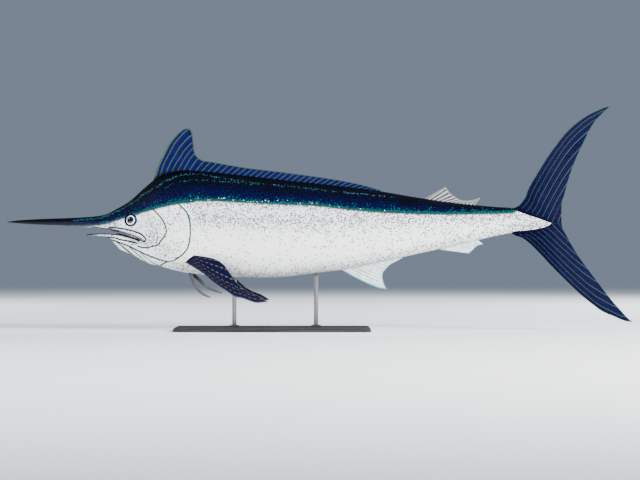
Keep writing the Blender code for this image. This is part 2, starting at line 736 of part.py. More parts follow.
def ridges(columns, shares, root_half, ray_half, membrane_half):
    """Half-thickness of a fin: even at its root, then rays raised on a thinner membrane."""
    shares = np.array(shares)
    ray = root_half + (ray_half - root_half) * shares
    membrane = ray * (membrane_half / ray_half)
    membrane[0] = root_half
    return np.array([membrane if column % 2 else ray for column in range(columns)])


def flat_fin(root, places, key_rays, lead, shares, half, fade=FIN_BOW_FADE, notch=FIN_NOTCH):
    shares = np.array(shares)
    grid = ray_grid(root, ray_tips(places, key_rays, root, notch), lead, shares, fade)
    y = ridges(len(root), shares, *half)
    x, z = np.moveaxis(grid, -1, 0)
    return body_between(np.stack((x, -y, z), -1), np.stack((x, y, z), -1))


def edge_fin(edge, side, key_rays, lead, pitch, rows, half):
    """A fin that stands on the back, side 1, or hangs from the belly, side -1."""
    line = stretch(edge, key_rays[0][0], key_rays[-1][0])
    root = divided(offset_line(line, side * CUT_GAP), pitch)
    places = np.clip(root[:, 0], key_rays[0][0], key_rays[-1][0])
    return flat_fin(root, places, key_rays, lead, np.linspace(0, 1, rows), half)


def tail_lobe(edge, side, start, key_rays, lead, half):
    """A lobe of the tail fin, rooted along the stem and then on the line between the lobes."""
    line = stretch(edge, start, TAIL_END)
    corner = np.array(((TAIL_END, TAIL_SPLIT_HEIGHT), (TAIL_FORK, TAIL_SPLIT_HEIGHT)))
    root = offset_line(np.vstack((line, corner)), side * CUT_GAP)
    root[-1, 0] = TAIL_FORK
    root = divided(root, TAIL_RAY_PITCH)
    walked = np.concatenate(((0,), np.cumsum(np.linalg.norm(np.diff(root, axis=0), axis=1))))
    places = walked / walked[-1]
    return flat_fin(root, places, key_rays, lead, TAIL_SHARES, half, TAIL_BOW_FADE, TAIL_NOTCH)


def normals_of(grid):
    across = np.gradient(grid, axis=0)
    along = np.gradient(grid, axis=1)
    normal = np.cross(across, along)
    return normal / np.linalg.norm(normal, axis=-1)[..., None]


def make_pectoral(side):
    """A stiff sickle-shaped fin that slants back, down and outward, rooted in the flank."""
    columns = 2 * PECTORAL_COUNT + 1
    chord = np.linspace(0, 1, columns)
    start, end = np.array(PECTORAL_ROOT, float)
    root = start + (end - start) * chord[:, None]
    shares = np.linspace(0, 1, PECTORAL_ROWS)
    tips = ray_tips(chord, PECTORAL_RAYS, root, PECTORAL_NOTCH)
    grid = ray_grid(root, tips, PECTORAL_LEAD, shares, PECTORAL_BOW_FADE)
    length = np.linalg.norm(tips - root, axis=1)
    y = body_width(root[:, 0], root[:, 1])[:, None] + PECTORAL_SPREAD * length[:, None] * shares
    outer = np.concatenate((grid, y[..., None]), -1)[..., (0, 2, 1)]
    sunk = outer[:, :1] - np.array((PECTORAL_ROOT_SHIFT, PECTORAL_SINK, 0))
    points = np.concatenate((sunk, outer), 1) * np.array((1, side, 1))
    rear = PECTORAL_REAR_SHARE
    profile = rear + (1 - rear) * np.clip(1 - chord, 0, 1) ** PECTORAL_REAR_POWER
    half = np.concatenate(((1.0,), 1 - PECTORAL_TAPER * shares)) * PECTORAL_HALF
    half = half[None, :] * profile[:, None]
    half[1::2, 2:] *= PECTORAL_MEMBRANE_SHARE
    shift = normals_of(points) * half[..., None]
    return body_between(points - shift, points + shift)


def make_pelvic(path, side):
    """A narrow strap of three fused rays, let into the belly beside the midline."""
    path = np.array(path, float)
    walked = np.concatenate(((0,), np.cumsum(np.linalg.norm(np.diff(path, axis=0), axis=1))))
    along = np.linspace(0, 1, PELVIC_ROWS)
    x = smooth_line(list(zip(walked / walked[-1], path[:, 0])))(along)
    z = smooth_line(list(zip(walked / walked[-1], path[:, 1])))(along)
    middle = np.stack((x, z), -1)
    width = smooth_line(PELVIC_WIDTH)(along)
    half = straight_line(PELVIC_HALF_THICKNESS)(along)
    run = np.gradient(middle, axis=0)
    run /= np.linalg.norm(run, axis=1)[:, None]
    across = np.stack((-run[:, 1], run[:, 0]), -1)
    strips = np.linspace(-0.5, 0.5, len(PELVIC_RIDGES))
    grid = np.array([middle + across * (width * strip)[:, None] for strip in strips])
    thick = np.outer(PELVIC_RIDGES, half)
    y = side * (PELVIC_OFFSET + PELVIC_SPREAD * along)[None, :]
    near = np.stack((grid[..., 0], y - thick, grid[..., 1]), -1)
    far = np.stack((grid[..., 0], y + thick, grid[..., 1]), -1)
    return body_between(near, far)


def grown(source, name, growth, collection):
    """A cutter: a copy of a body with its surface moved out."""
    mesh = bmesh.new()
    mesh.from_mesh(source.data)
    mesh.normal_update()
    moves = [(vert, vert.normal * growth * MM) for vert in mesh.verts]
    for vert, move in moves:
        vert.co += move
    return as_cutter(add_object(name, mesh, collection))


def as_cutter(made):
    made.hide_render = True
    made.display_type = "WIRE"
    return made


def cut(body, cutter):
    modifier = body.modifiers.new(cutter.name, "BOOLEAN")
    modifier.operation = "DIFFERENCE"
    modifier.object = cutter


def bevel_edges(mesh, edges, width, steps):
    bmesh.ops.bevel(mesh, geom=edges, offset=width, segments=steps, profile=0.5, affect="EDGES")


def make_base():
    """A flat board with rounded corners and a small chamfer round its top."""
    mesh = bmesh.new()
    bmesh.ops.create_cube(mesh, size=1.0)
    bmesh.ops.scale(mesh, vec=BASE_SIZE, verts=mesh.verts)
    centre = Vector(((BASE_CENTRE - LENGTH / 2) * MM, 0, BASE_SIZE[2] / 2))
    bmesh.ops.translate(mesh, vec=centre, verts=mesh.verts)
    middle = BASE_SIZE[2] / 2
    heights = {edge: [vert.co.z for vert in edge.verts] for edge in mesh.edges}
    upright = [edge for edge, (first, last) in heights.items() if abs(first - last) > middle]
    bevel_edges(mesh, upright, BASE_CORNER, BASE_CORNER_STEPS)
    top = [edge for edge in mesh.edges if min(vert.co.z for vert in edge.verts) > middle]
    bevel_edges(mesh, top, BASE_CHAMFER, BASE_CHAMFER_STEPS)
    return mesh


def make_rod(at):
    """A round rod from just above the base into the belly."""
    low = BASE_SIZE[2] + GAP * MM
    high = (float(belly(at)) + ROD_LET_IN + AXIS_HEIGHT) * MM
    mesh = bmesh.new()
    bmesh.ops.create_cone(
        mesh, cap_ends=True, segments=ROD_SIDES, radius1=ROD_RADIUS, radius2=ROD_RADIUS,
        depth=high - low,
    )
    middle = Vector(((at - LENGTH / 2) * MM, 0, (high + low) / 2))
    bmesh.ops.translate(mesh, vec=middle, verts=mesh.verts)
    return mesh


def add_collar(name, at, collection, material):
    """A turned collar round the foot of a rod."""
    inner = ROD_RADIUS + CUT_GAP * MM
    profile = (
        (inner, COLLAR_HEIGHT), (COLLAR_RADIUS - COLLAR_BEVEL, COLLAR_HEIGHT),
        (COLLAR_RADIUS, COLLAR_HEIGHT - COLLAR_BEVEL), (COLLAR_RADIUS, 0.0), (inner, 0.0),
    )
    mesh = bmesh.new()
    corners = [mesh.verts.new((radius, 0, height)) for radius, height in profile]
    for start, end in zip(corners, corners[1:] + corners[:1]):
        mesh.edges.new((start, end))
    made = add_object(name, mesh, collection, material)
    made.location = ((at - LENGTH / 2) * MM, 0, BASE_SIZE[2] + GAP * MM)
    turn = made.modifiers.new("turned", "SCREW")
    turn.steps = COLLAR_SIDES
    turn.render_steps = COLLAR_SIDES
    turn.use_merge_vertices = True
    turn.merge_threshold = COLLAR_MERGE
    turn.use_smooth_shade = True
    return made


def clear_scene():
    for old in list(bpy.data.objects):
        bpy.data.objects.remove(old)


def main():
    clear_scene()
    marlin = bpy.data.collections.new("black_marlin_model")
    cutters = bpy.data.collections.new("cutters")
    bpy.context.scene.collection.children.link(marlin)
    bpy.context.scene.collection.children.link(cutters)

    navy = (0.008, 0.012, 0.045)
    cobalt = (0.006, 0.014, 0.12)
    silver = (0.62, 0.65, 0.68)
    grey = (0.28, 0.32, 0.34)
    white = (0.80, 0.81, 0.80)
    iris = (0.1, 0.3, 0.6)
    flesh_red = (0.10, 0.06, 0.07)
    steel = (0.55, 0.56, 0.58)
    walnut = (0.05, 0.05, 0.055)

    add_object("bill", make_bill(), marlin, plastic("bill", navy, 0.35))
    head_mesh, head_grid = make_head()
    head = add_object("head", head_mesh, marlin, plastic("head", navy, 0.35))
    add_object("lower_jaw", make_jaw(), marlin, plastic("lower_jaw", silver, 0.35))
    add_object("throat", make_throat(), marlin, plastic("throat", white, 0.4))
    add_object("tongue", make_tongue(), marlin, plastic("tongue", flesh_red, 0.5))
    trunk_grid = trunk_rings()
    trunk_mesh = flesh(trunk_grid, body_width)
    trunk = add_object("trunk", trunk_mesh, marlin, plastic("trunk", silver, 0.3))
    tail_grid = tail_rings()
    add_object("tail", make_tail(tail_grid), marlin, plastic("tail", silver, 0.3))

    for name, side in (("left", -1), ("right", 1)):
        colour = plastic("gill_cover_" + name, silver, 0.35)
        add_object("gill_cover_" + name, make_gill_cover(side), marlin, colour)
        cut(head, as_cutter(add_object("recess_" + name, make_gill_recess(side), cutters)))
        add_object("eye_" + name, make_eye(side), marlin, plastic("eye_" + name, iris, 0.08))
        cut(head, as_cutter(add_object("socket_" + name, make_eye(side, CUT_GAP), cutters)))
        for number, at in enumerate(NOSTRILS):
            pit = add_object(f"nostril_{name}_{number}", make_nostril(at, side), cutters)
            cut(head, as_cutter(pit))

    back_edge = np.vstack((head_grid[:-1, 0], trunk_grid[:, 0]))
    belly_edge = trunk_grid[:, -1]
    fins = (
        ("dorsal_fin_first", back_edge, 1, FIRST_DORSAL_RAYS, FIRST_DORSAL_LEAD, 33.0, 6, cobalt),
        ("dorsal_fin_second", back_edge, 1, SECOND_DORSAL_RAYS, (), 32.0, 5, grey),
        ("anal_fin_first", belly_edge, -1, FIRST_ANAL_RAYS, FIRST_ANAL_LEAD, 30.0, 6, silver),
        ("anal_fin_second", belly_edge, -1, SECOND_ANAL_RAYS, (), 32.0, 5, white),
    )
    for name, edge, side, rays, lead, pitch, rows, colour in fins:
        mesh = edge_fin(edge, side, rays, lead, pitch, rows, THIN_FIN_HALF)
        add_object(name, mesh, marlin, plastic(name, colour, 0.4))

    lobes = (
        (
            "caudal_fin_upper", tail_grid[:, 0], 1, UPPER_TAIL_START, UPPER_TAIL_RAYS,
            UPPER_TAIL_LEAD,
        ),
        (
            "caudal_fin_lower", tail_grid[:, -1], -1, LOWER_TAIL_START, LOWER_TAIL_RAYS,
            LOWER_TAIL_LEAD,
        ),
    )
    for name, edge, side, start, rays, lead in lobes:
        mesh = tail_lobe(edge, side, start, rays, lead, TAIL_FIN_HALF)
        add_object(name, mesh, marlin, plastic(name, navy, 0.4))

    hull = grown(trunk, "trunk_room", CUT_GAP, cutters)
    rooted = (
        ("pectoral_fin_left", make_pectoral(-1), navy),
        ("pectoral_fin_right", make_pectoral(1), navy),
        ("pelvic_fin_left", make_pelvic(LEFT_PELVIC, -1), grey),
        ("pelvic_fin_right", make_pelvic(RIGHT_PELVIC, 1), grey),
    )
    for name, mesh, colour in rooted:
        cut(add_object(name, mesh, marlin, plastic(name, colour, 0.4)), hull)

    add_object("stand_base", make_base(), marlin, plastic("stand_base", walnut, 0.5))
    for name, at in ROD_PLACES.items():
        rod_steel = plastic("stand_rod_" + name, steel, 0.3, 1.0)
        cut(add_object("stand_rod_" + name, make_rod(at), marlin, rod_steel), hull)
        collar_steel = plastic("stand_collar_" + name, steel, 0.3, 1.0)
        add_collar("stand_collar_" + name, at, marlin, collar_steel)


main()
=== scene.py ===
"""A life-size museum model of a black marlin on its display stand, dressed for a studio.

The fish faces -X with its left side towards -Y, and up is +Z. Tables are in millimetres, with X
running back from the tip of the bill and Z the height above the level of that tip. Finished
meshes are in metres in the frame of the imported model.
"""

import logging
import math
from collections.abc import Callable, Sequence
from dataclasses import dataclass, field
from enum import Enum

import bmesh
import bpy
import numpy as np
from mathutils import Matrix, Vector


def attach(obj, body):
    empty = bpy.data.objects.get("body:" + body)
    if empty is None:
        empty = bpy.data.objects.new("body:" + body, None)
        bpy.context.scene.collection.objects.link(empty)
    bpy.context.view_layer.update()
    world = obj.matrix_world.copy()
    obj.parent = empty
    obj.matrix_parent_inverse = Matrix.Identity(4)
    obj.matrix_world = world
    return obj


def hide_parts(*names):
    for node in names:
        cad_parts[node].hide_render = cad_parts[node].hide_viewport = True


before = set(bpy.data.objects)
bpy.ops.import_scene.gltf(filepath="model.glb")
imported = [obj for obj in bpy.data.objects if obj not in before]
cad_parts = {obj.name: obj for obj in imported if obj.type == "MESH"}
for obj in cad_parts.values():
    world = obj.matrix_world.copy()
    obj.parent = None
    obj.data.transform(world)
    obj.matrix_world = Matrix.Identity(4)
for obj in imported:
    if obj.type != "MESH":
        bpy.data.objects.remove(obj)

log = logging.getLogger("marlin")

Array = np.ndarray
Line = Callable[[Array], Array]
Path = Sequence[Sequence[float]]
Table = tuple[tuple[float, ...], ...]
Colour = tuple[float, float, float]
Span = tuple[float, float]  # where something begins and ends
Bump = tuple[float, float, float]  # the height, the place and the width of a soft rise
Faces = list[tuple[int, ...]]
Thing = bpy.types.Object
Material = bpy.types.Material
Socket = bpy.types.NodeSocket

MM = 0.001
LENGTH = 3446.0
AXIS_HEIGHT = 600.0
SKIN_DEPTH = 1.2  # how far the skin lies inside the solids, which is the depth of the scales
CAP_REACH = 3.0  # how far past a drawn line's end its distances grow at their usual rate


class Side(Enum):
    """The two sides of the fish, by the sign of Y."""

    LEFT = -1
    RIGHT = 1


def smooth_line(points: Path) -> Line:
    """A curve through the points that never swings past them.

    Args:
        points: pairs of place and value, in rising order of place.

    Returns:
        A function from places to values, level beyond both ends.
    """
    along = np.array([point[0] for point in points], float)
    value = np.array([point[1] for point in points], float)
    step = np.diff(along)
    slope = np.diff(value) / step
    tangent = np.zeros(len(along))
    tangent[0] = slope[0]
    tangent[-1] = slope[-1]
    for i in range(1, len(along) - 1):
        if slope[i - 1] * slope[i] > 0:
            before = 2 * step[i] + step[i - 1]
            after = step[i] + 2 * step[i - 1]
            tangent[i] = (before + after) / (before / slope[i - 1] + after / slope[i])

    def curve(at: Array) -> Array:
        """The value at each place.

        Args:
            at: the places.

        Returns:
            The values.
        """
        at = np.clip(at, along[0], along[-1])
        i = np.clip(np.searchsorted(along, at) - 1, 0, len(step) - 1)
        t = (at - along[i]) / step[i]
        rise = value[i] * (1 - t) ** 2 * (1 + 2 * t) + value[i + 1] * t**2 * (3 - 2 * t)
        return rise + step[i] * t * (1 - t) * (tangent[i] * (1 - t) - tangent[i + 1] * t)

    return curve


def bump(away: Array, shape: Bump) -> Array:
    """A soft rise of the given shape."""
    return shape[0] * bell(away - shape[1], shape[2])


def curve_at(points: Path, at: Array) -> Array:
    """The value at each place of the smooth curve through the points."""
    return smooth_line(points)(at)


def ease(value: Array, start: float, end: float) -> Array:
    """A smooth rise from 0 at start to 1 at end."""
    t = np.clip((value - start) / (end - start), 0, 1)
    return t * t * (3 - 2 * t)


def fall(value: Array, start: float, end: float) -> Array:
    """A smooth fall from 1 at start to 0 at end."""
    return 1 - ease(value, start, end)


def bell(value: Array, width: float) -> Array:
    """A bell of height 1 over a value of 0, which fades over the width on both sides."""
    return np.exp(-((value / width) ** 2))


def signed_distance(points: Path, x: Array, z: Array, runs: int = 6, steep: float = 0) -> Array:
    """How far places of the side view are from a rounded line, with opposite signs on its sides.

    Args:
        points: the points that the line goes through, as pairs of X and Z.
        x: distances behind the bill tip.
        z: heights.
        runs: the number of straight runs between two points.
        steep: how much faster the distance grows past the ends of the line.

    Returns:
        The distance of each place from the nearest place on the line.
    """
    path = drawn(points, runs)
    least = np.full(np.shape(x), 1e6)
    signed = least.copy()
    last = len(path) - 2
    for i, ((x0, z0), (x1, z1)) in enumerate(zip(path[:-1], path[1:])):
        run_x, run_z = x1 - x0, z1 - z0
        t = ((x - x0) * run_x + (z - z0) * run_z) / (run_x**2 + run_z**2)
        past = ((i == 0) & (t < 0)) | ((i == last) & (t > 1))
        t = np.clip(t, 0, 1)
        away = np.hypot(x - x0 - t * run_x, z - z0 - t * run_z)
        side = np.where((x - x0) * run_z > (z - z0) * run_x, -1.0, 1.0)
        grown = away + np.where(past, steep * np.maximum(away - CAP_REACH, 0), 0)
        signed = np.where(away < least, side * grown, signed)
        least = np.minimum(least, away)
    return signed


def distance_to(points: Path, x: Array, z: Array, runs: int = 6) -> Array:
    """How far places of the side view are from a rounded line through the points."""
    return np.abs(signed_distance(points, x, z, runs))


def drawn(points: Path, runs: int) -> list[tuple[float, float]]:
    """A rounded path through side-view points, as short straight runs.

    Args:
        points: pairs of X and Z.
        runs: the number of straight runs between two points.

    Returns:
        The path's points.
    """
    corners = np.array(points, float)
    held = np.vstack((2 * corners[:1] - corners[1:2], corners, 2 * corners[-1:] - corners[-2:-1]))
    path = []
    for before, start, end, after in zip(held[:-3], held[1:-2], held[2:-1], held[3:]):
        for t in np.arange(runs) / runs:
            pull = (end - before) * t + (2 * before - 5 * start + 4 * end - after) * t**2
            path.append(start + 0.5 * (pull + (3 * start - before - 3 * end + after) * t**3))
    return [(float(x), float(z)) for x, z in (*path, corners[-1])]


def swapped(points: Table) -> Table:
    """Pairs with their two numbers in the other order."""
    return tuple(pair[::-1] for pair in points)


def placed(points: Array) -> Array:
    """Table points in millimetres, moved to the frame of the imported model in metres."""
    return (np.asarray(points, float) + np.array((-LENGTH / 2, 0, AXIS_HEIGHT))) * MM


def graded(start: float, end: float, first: float, last: float) -> Array:
    """Places from start to end whose spacing changes evenly.

    Args:
        start: the first place.
        end: the last place.
        first: the spacing wanted at the start.
        last: the spacing wanted at the end.

    Returns:
        The places, both ends among them.
    """
    count = max(1, round(2 * (end - start) / (first + last)))
    spacing = np.linspace(first, last, count)
    places = np.concatenate(((0,), np.cumsum(spacing)))
    return start + places * (end - start) / places[-1]


def unit(vectors: Array) -> Array:
    """The vectors at a length of one."""
    return vectors / np.linalg.norm(vectors, axis=-1)[..., None]


def walked_along(points: Array) -> Array:
    """How far each point of a path is from its start."""
    return np.concatenate(((0,), np.cumsum(np.linalg.norm(np.diff(points, axis=0), axis=1))))


def whole_turn(count: int) -> Array:
    """Evenly spaced angles of one whole turn."""
    return np.linspace(0, 2 * math.pi, count + 1)[:-1]


def quads(*corners: Array) -> Faces:
    """Four-cornered faces from four grids of vertex numbers, one for each corner."""
    return [tuple(face) for face in np.stack(corners, -1).reshape(-1, 4).tolist()]


def grid_quads(grid: Array) -> Faces:
    """The faces between the rows and columns of a grid of vertex numbers."""
    return quads(grid[:-1, :-1], grid[:-1, 1:], grid[1:, 1:], grid[1:, :-1])


def fan(ring: list[int], hub: int) -> Faces:
    """Triangles from a ring of vertices to one in its middle."""
    return [(start, end, hub) for start, end in zip(ring, ring[1:] + ring[:1])]


def linked(name: str, data: bpy.types.ID) -> Thing:
    """A new object in the scene that holds the data.

    Args:
        name: the name of the object.
        data: the mesh or lamp that it holds.

    Returns:
        The object.
    """
    made = bpy.data.objects.new(name, data)
    bpy.context.scene.collection.objects.link(made)
    return made


def shaded_object(name: str, points: Array, faces: Faces, angle: float = 40.0) -> Thing:
    """A mesh object at the origin with outward faces, shaded smooth up to its creases.

    Args:
        name: the name of the piece.
        points: the vertices, in metres.
        faces: the corners of each face.
        angle: the crease angle in degrees above which an edge stays sharp.

    Returns:
        The new object, linked to the scene.
    """
    data = bpy.data.meshes.new(name)
    data.from_pydata(np.asarray(points).tolist(), [], faces)
    mesh = bmesh.new()
    mesh.from_mesh(data)
    bmesh.ops.recalc_face_normals(mesh, faces=mesh.faces)
    mesh.to_mesh(data)
    mesh.free()
    data.shade_smooth()
    data.set_sharp_from_angle(angle=math.radians(angle))
    return linked(name, data)


def store(data: bpy.types.Mesh, name: str, values: Array) -> None:
    """Keeps one number, or one vector, per vertex of a mesh.

    Args:
        data: the mesh.
        name: the name of the attribute.
        values: one number or one row of three for each vertex.
    """
    values = np.asarray(values, np.float32)
    kind, key = ("FLOAT", "value") if values.ndim == 1 else ("FLOAT_VECTOR", "vector")
    data.attributes.new(name, kind, "POINT").data.foreach_set(key, values.ravel())


def wrapped_faces(near: Array, far: Array) -> Faces:
    """The faces of a closed shell between two grids of vertex numbers of one layout.

    Args:
        near: vertex numbers of one side.
        far: vertex numbers of the other side.

    Returns:
        The faces of both sides and of the border between them.
    """
    faces = grid_quads(near) + grid_quads(far)
    lines, points = near.shape
    border = [(0, j) for j in range(points)] + [(i, points - 1) for i in range(1, lines)]
    border += [(lines - 1, j) for j in range(points - 2, -1, -1)]
    border += [(i, 0) for i in range(lines - 2, 0, -1)]
    for here, there in zip(border, border[1:] + border[:1]):
        ring = (near[here], near[there], far[there], far[here])
        kept = tuple(dict.fromkeys(int(corner) for corner in ring))
        if len(kept) > 2:
            faces.append(kept)
    return faces


def finish_piece(made: Thing, material: Material, slot: str, *nodes: str) -> None:
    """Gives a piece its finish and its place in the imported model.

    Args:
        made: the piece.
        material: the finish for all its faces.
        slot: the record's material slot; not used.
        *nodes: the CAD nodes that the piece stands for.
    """
    made.data.materials.clear()
    made.data.materials.append(material)
    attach(made, "root")
    if nodes:
        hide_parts(*nodes)
    made.data.calc_loop_triangles()
    log.info("%s: %d triangles", made.name, len(made.data.loop_triangles))


@dataclass(frozen=True)
class BodyForm:
    """The outline and sections of the fish, in millimetres."""

    back_line: Table = (
        (0, 2), (60, 10), (192, 18), (358, 24), (490, 33), (545, 44), (589, 66), (666, 110),
        (754, 187), (820, 240), (896, 272), (985, 285), (1095, 278), (1282, 258.5),
        (1557, 227), (1832, 198), (2052, 170), (2272, 133), (2492, 103), (2712, 82.5),
        (2778, 79), (2827, 60), (2910, 32), (2981, 6.6), (2995, 2),
    )
    belly_line: Table = (
        (421, -74), (481, -78), (520, -83.6), (561, -91), (595.5, -125), (621, -151),
        (660, -168), (709.5, -191), (753.5, -216), (797.5, -234), (841.5, -242),
        (885.5, -256), (973.5, -277), (1083.5, -291.5), (1281.5, -305), (1479.5, -304),
        (1677.5, -283), (1853.5, -261), (2073.5, -214.5), (2293.5, -168), (2513.5, -118),
        (2711.5, -72.6), (2777.5, -60.5), (2869, -53), (2953, -37), (2984, -23.6), (2995, -14),
    )
    lip_line: Table = (
        (0, -2), (60, -8), (192, -17), (324.5, -21.5), (423.5, -27.5), (500, -34),
        (533.5, -40), (576, -48), (610.5, -53), (660, -68), (716, -88), (744, -100),
        (770, -107), (820, -118), (900, -131), (1050, -141), (1281, -140), (1611, -124),
        (2161, -84), (2711, -27), (2995, -9),
    )
    jaw_line: Table = (
        (421, -72), (456.5, -65.5), (495, -64), (550, -64), (588.5, -65.5), (624, -70.4),
        (660, -78.7), (687.5, -86.4), (716, -95), (744, -104.5), (770, -107.0),
    )
    half_width_line: Table = (
        (0, 2), (60, 8), (192, 17), (358, 23.5), (424, 28), (500, 36), (534, 41), (590, 54),
        (660, 72), (754, 107), (850, 135), (950, 153), (1050, 162), (1200, 168), (1400, 166),
        (1600, 156), (1800, 140), (2000, 119), (2200, 95), (2400, 70), (2560, 51), (2712, 36),
        (2790, 29), (2870, 21), (2950, 12), (2995, 3),
    )
    widest_line: Table = (
        (534, 0.40), (685, 0.52), (786, 0.595), (896, 0.59), (1017, 0.55), (1281, 0.50),
        (1611, 0.475), (2161, 0.46), (2711, 0.50),
    )
    jaw_half_width_line: Table = (
        (421, 2), (430, 5), (456, 12), (495, 20), (534, 28), (594, 42), (650, 58), (704, 78),
        (760, 100),
    )
    upper_rounding: float = 1.75
    lower_rounding: float = 2.3
    jaw_rounding: float = 2.2
    bill_end: float = 534.0
    face_blend_end: float = 735.0
    throat_start: float = 561.0
    jaw_end: float = 757.0
    mouth_corner: float = 770.0
    throat_end: float = 887.0
    flesh_end: float = 2995.0

    def back(self, x: Array) -> Array:
        """Height of the back."""
        return curve_at(self.back_line, x)

    def belly(self, x: Array) -> Array:
        """Height of the belly, or of the lower jaw's underside."""
        return curve_at(self.belly_line, x)

    def lip(self, x: Array) -> Array:
        """Height of the upper lip's edge, and of the flank's middle seam behind the mouth."""
        return curve_at(self.lip_line, x)

    def jaw(self, x: Array) -> Array:
        """Height of the lower jaw's upper edge, and of the same seam behind the mouth."""
        open_edge = np.minimum(curve_at(self.jaw_line, x), self.lip(x))
        return np.where(x < self.mouth_corner, open_edge, self.lip(x))

    def body_width(self, x: Array, z: Array) -> Array:
        """Half-width of the body's own section at a point of the side view.

        Args:
            x: places along the fish.
            z: heights.

        Returns:
            The half-widths.
        """
        level = np.clip((self.back(x) - z) / (self.back(x) - self.belly(x)), 0, 1)
        widest = curve_at(self.widest_line, x)
        up = np.clip((widest - level) / widest, 0, 1)
        down = np.clip((level - widest) / (1 - widest), 0, 1)
        above = (1 - up**self.upper_rounding) ** (1 / self.upper_rounding)
        below = np.sqrt(1 - down**self.lower_rounding)
        return curve_at(self.half_width_line, x) * np.where(level < widest, above, below)

    def upper_width(self, x: Array, z: Array) -> Array:
        """Half-width above the mouth: the bill's round section, then the body's.

        Args:
            x: places along the fish.
            z: heights.

        Returns:
            The half-widths.
        """
        level = np.clip((self.back(x) - z) / (self.back(x) - self.lip(x)), 0, 1)
        bill = curve_at(self.half_width_line, x) * np.sqrt(1 - (2 * level - 1) ** 2)
        share = ease(x, self.bill_end, self.face_blend_end)
        return bill * (1 - share) + self.body_width(x, z) * share

    def lower_width(self, x: Array, z: Array) -> Array:
        """Half-width below the mouth: the jaw's round section, then the body's.

        Args:
            x: places along the fish.
            z: heights.

        Returns:
            The half-widths.
        """
        top = curve_at(self.jaw_line, x)
        depth = np.clip((top - z) / (top - self.belly(x)), 0, 1)
        own = curve_at(self.jaw_half_width_line, x) * np.sqrt(1 - depth**self.jaw_rounding)
        share = ease(x, self.bill_end, self.face_blend_end)
        return own * (1 - share) + self.body_width(x, z) * share


FORM = BodyForm()


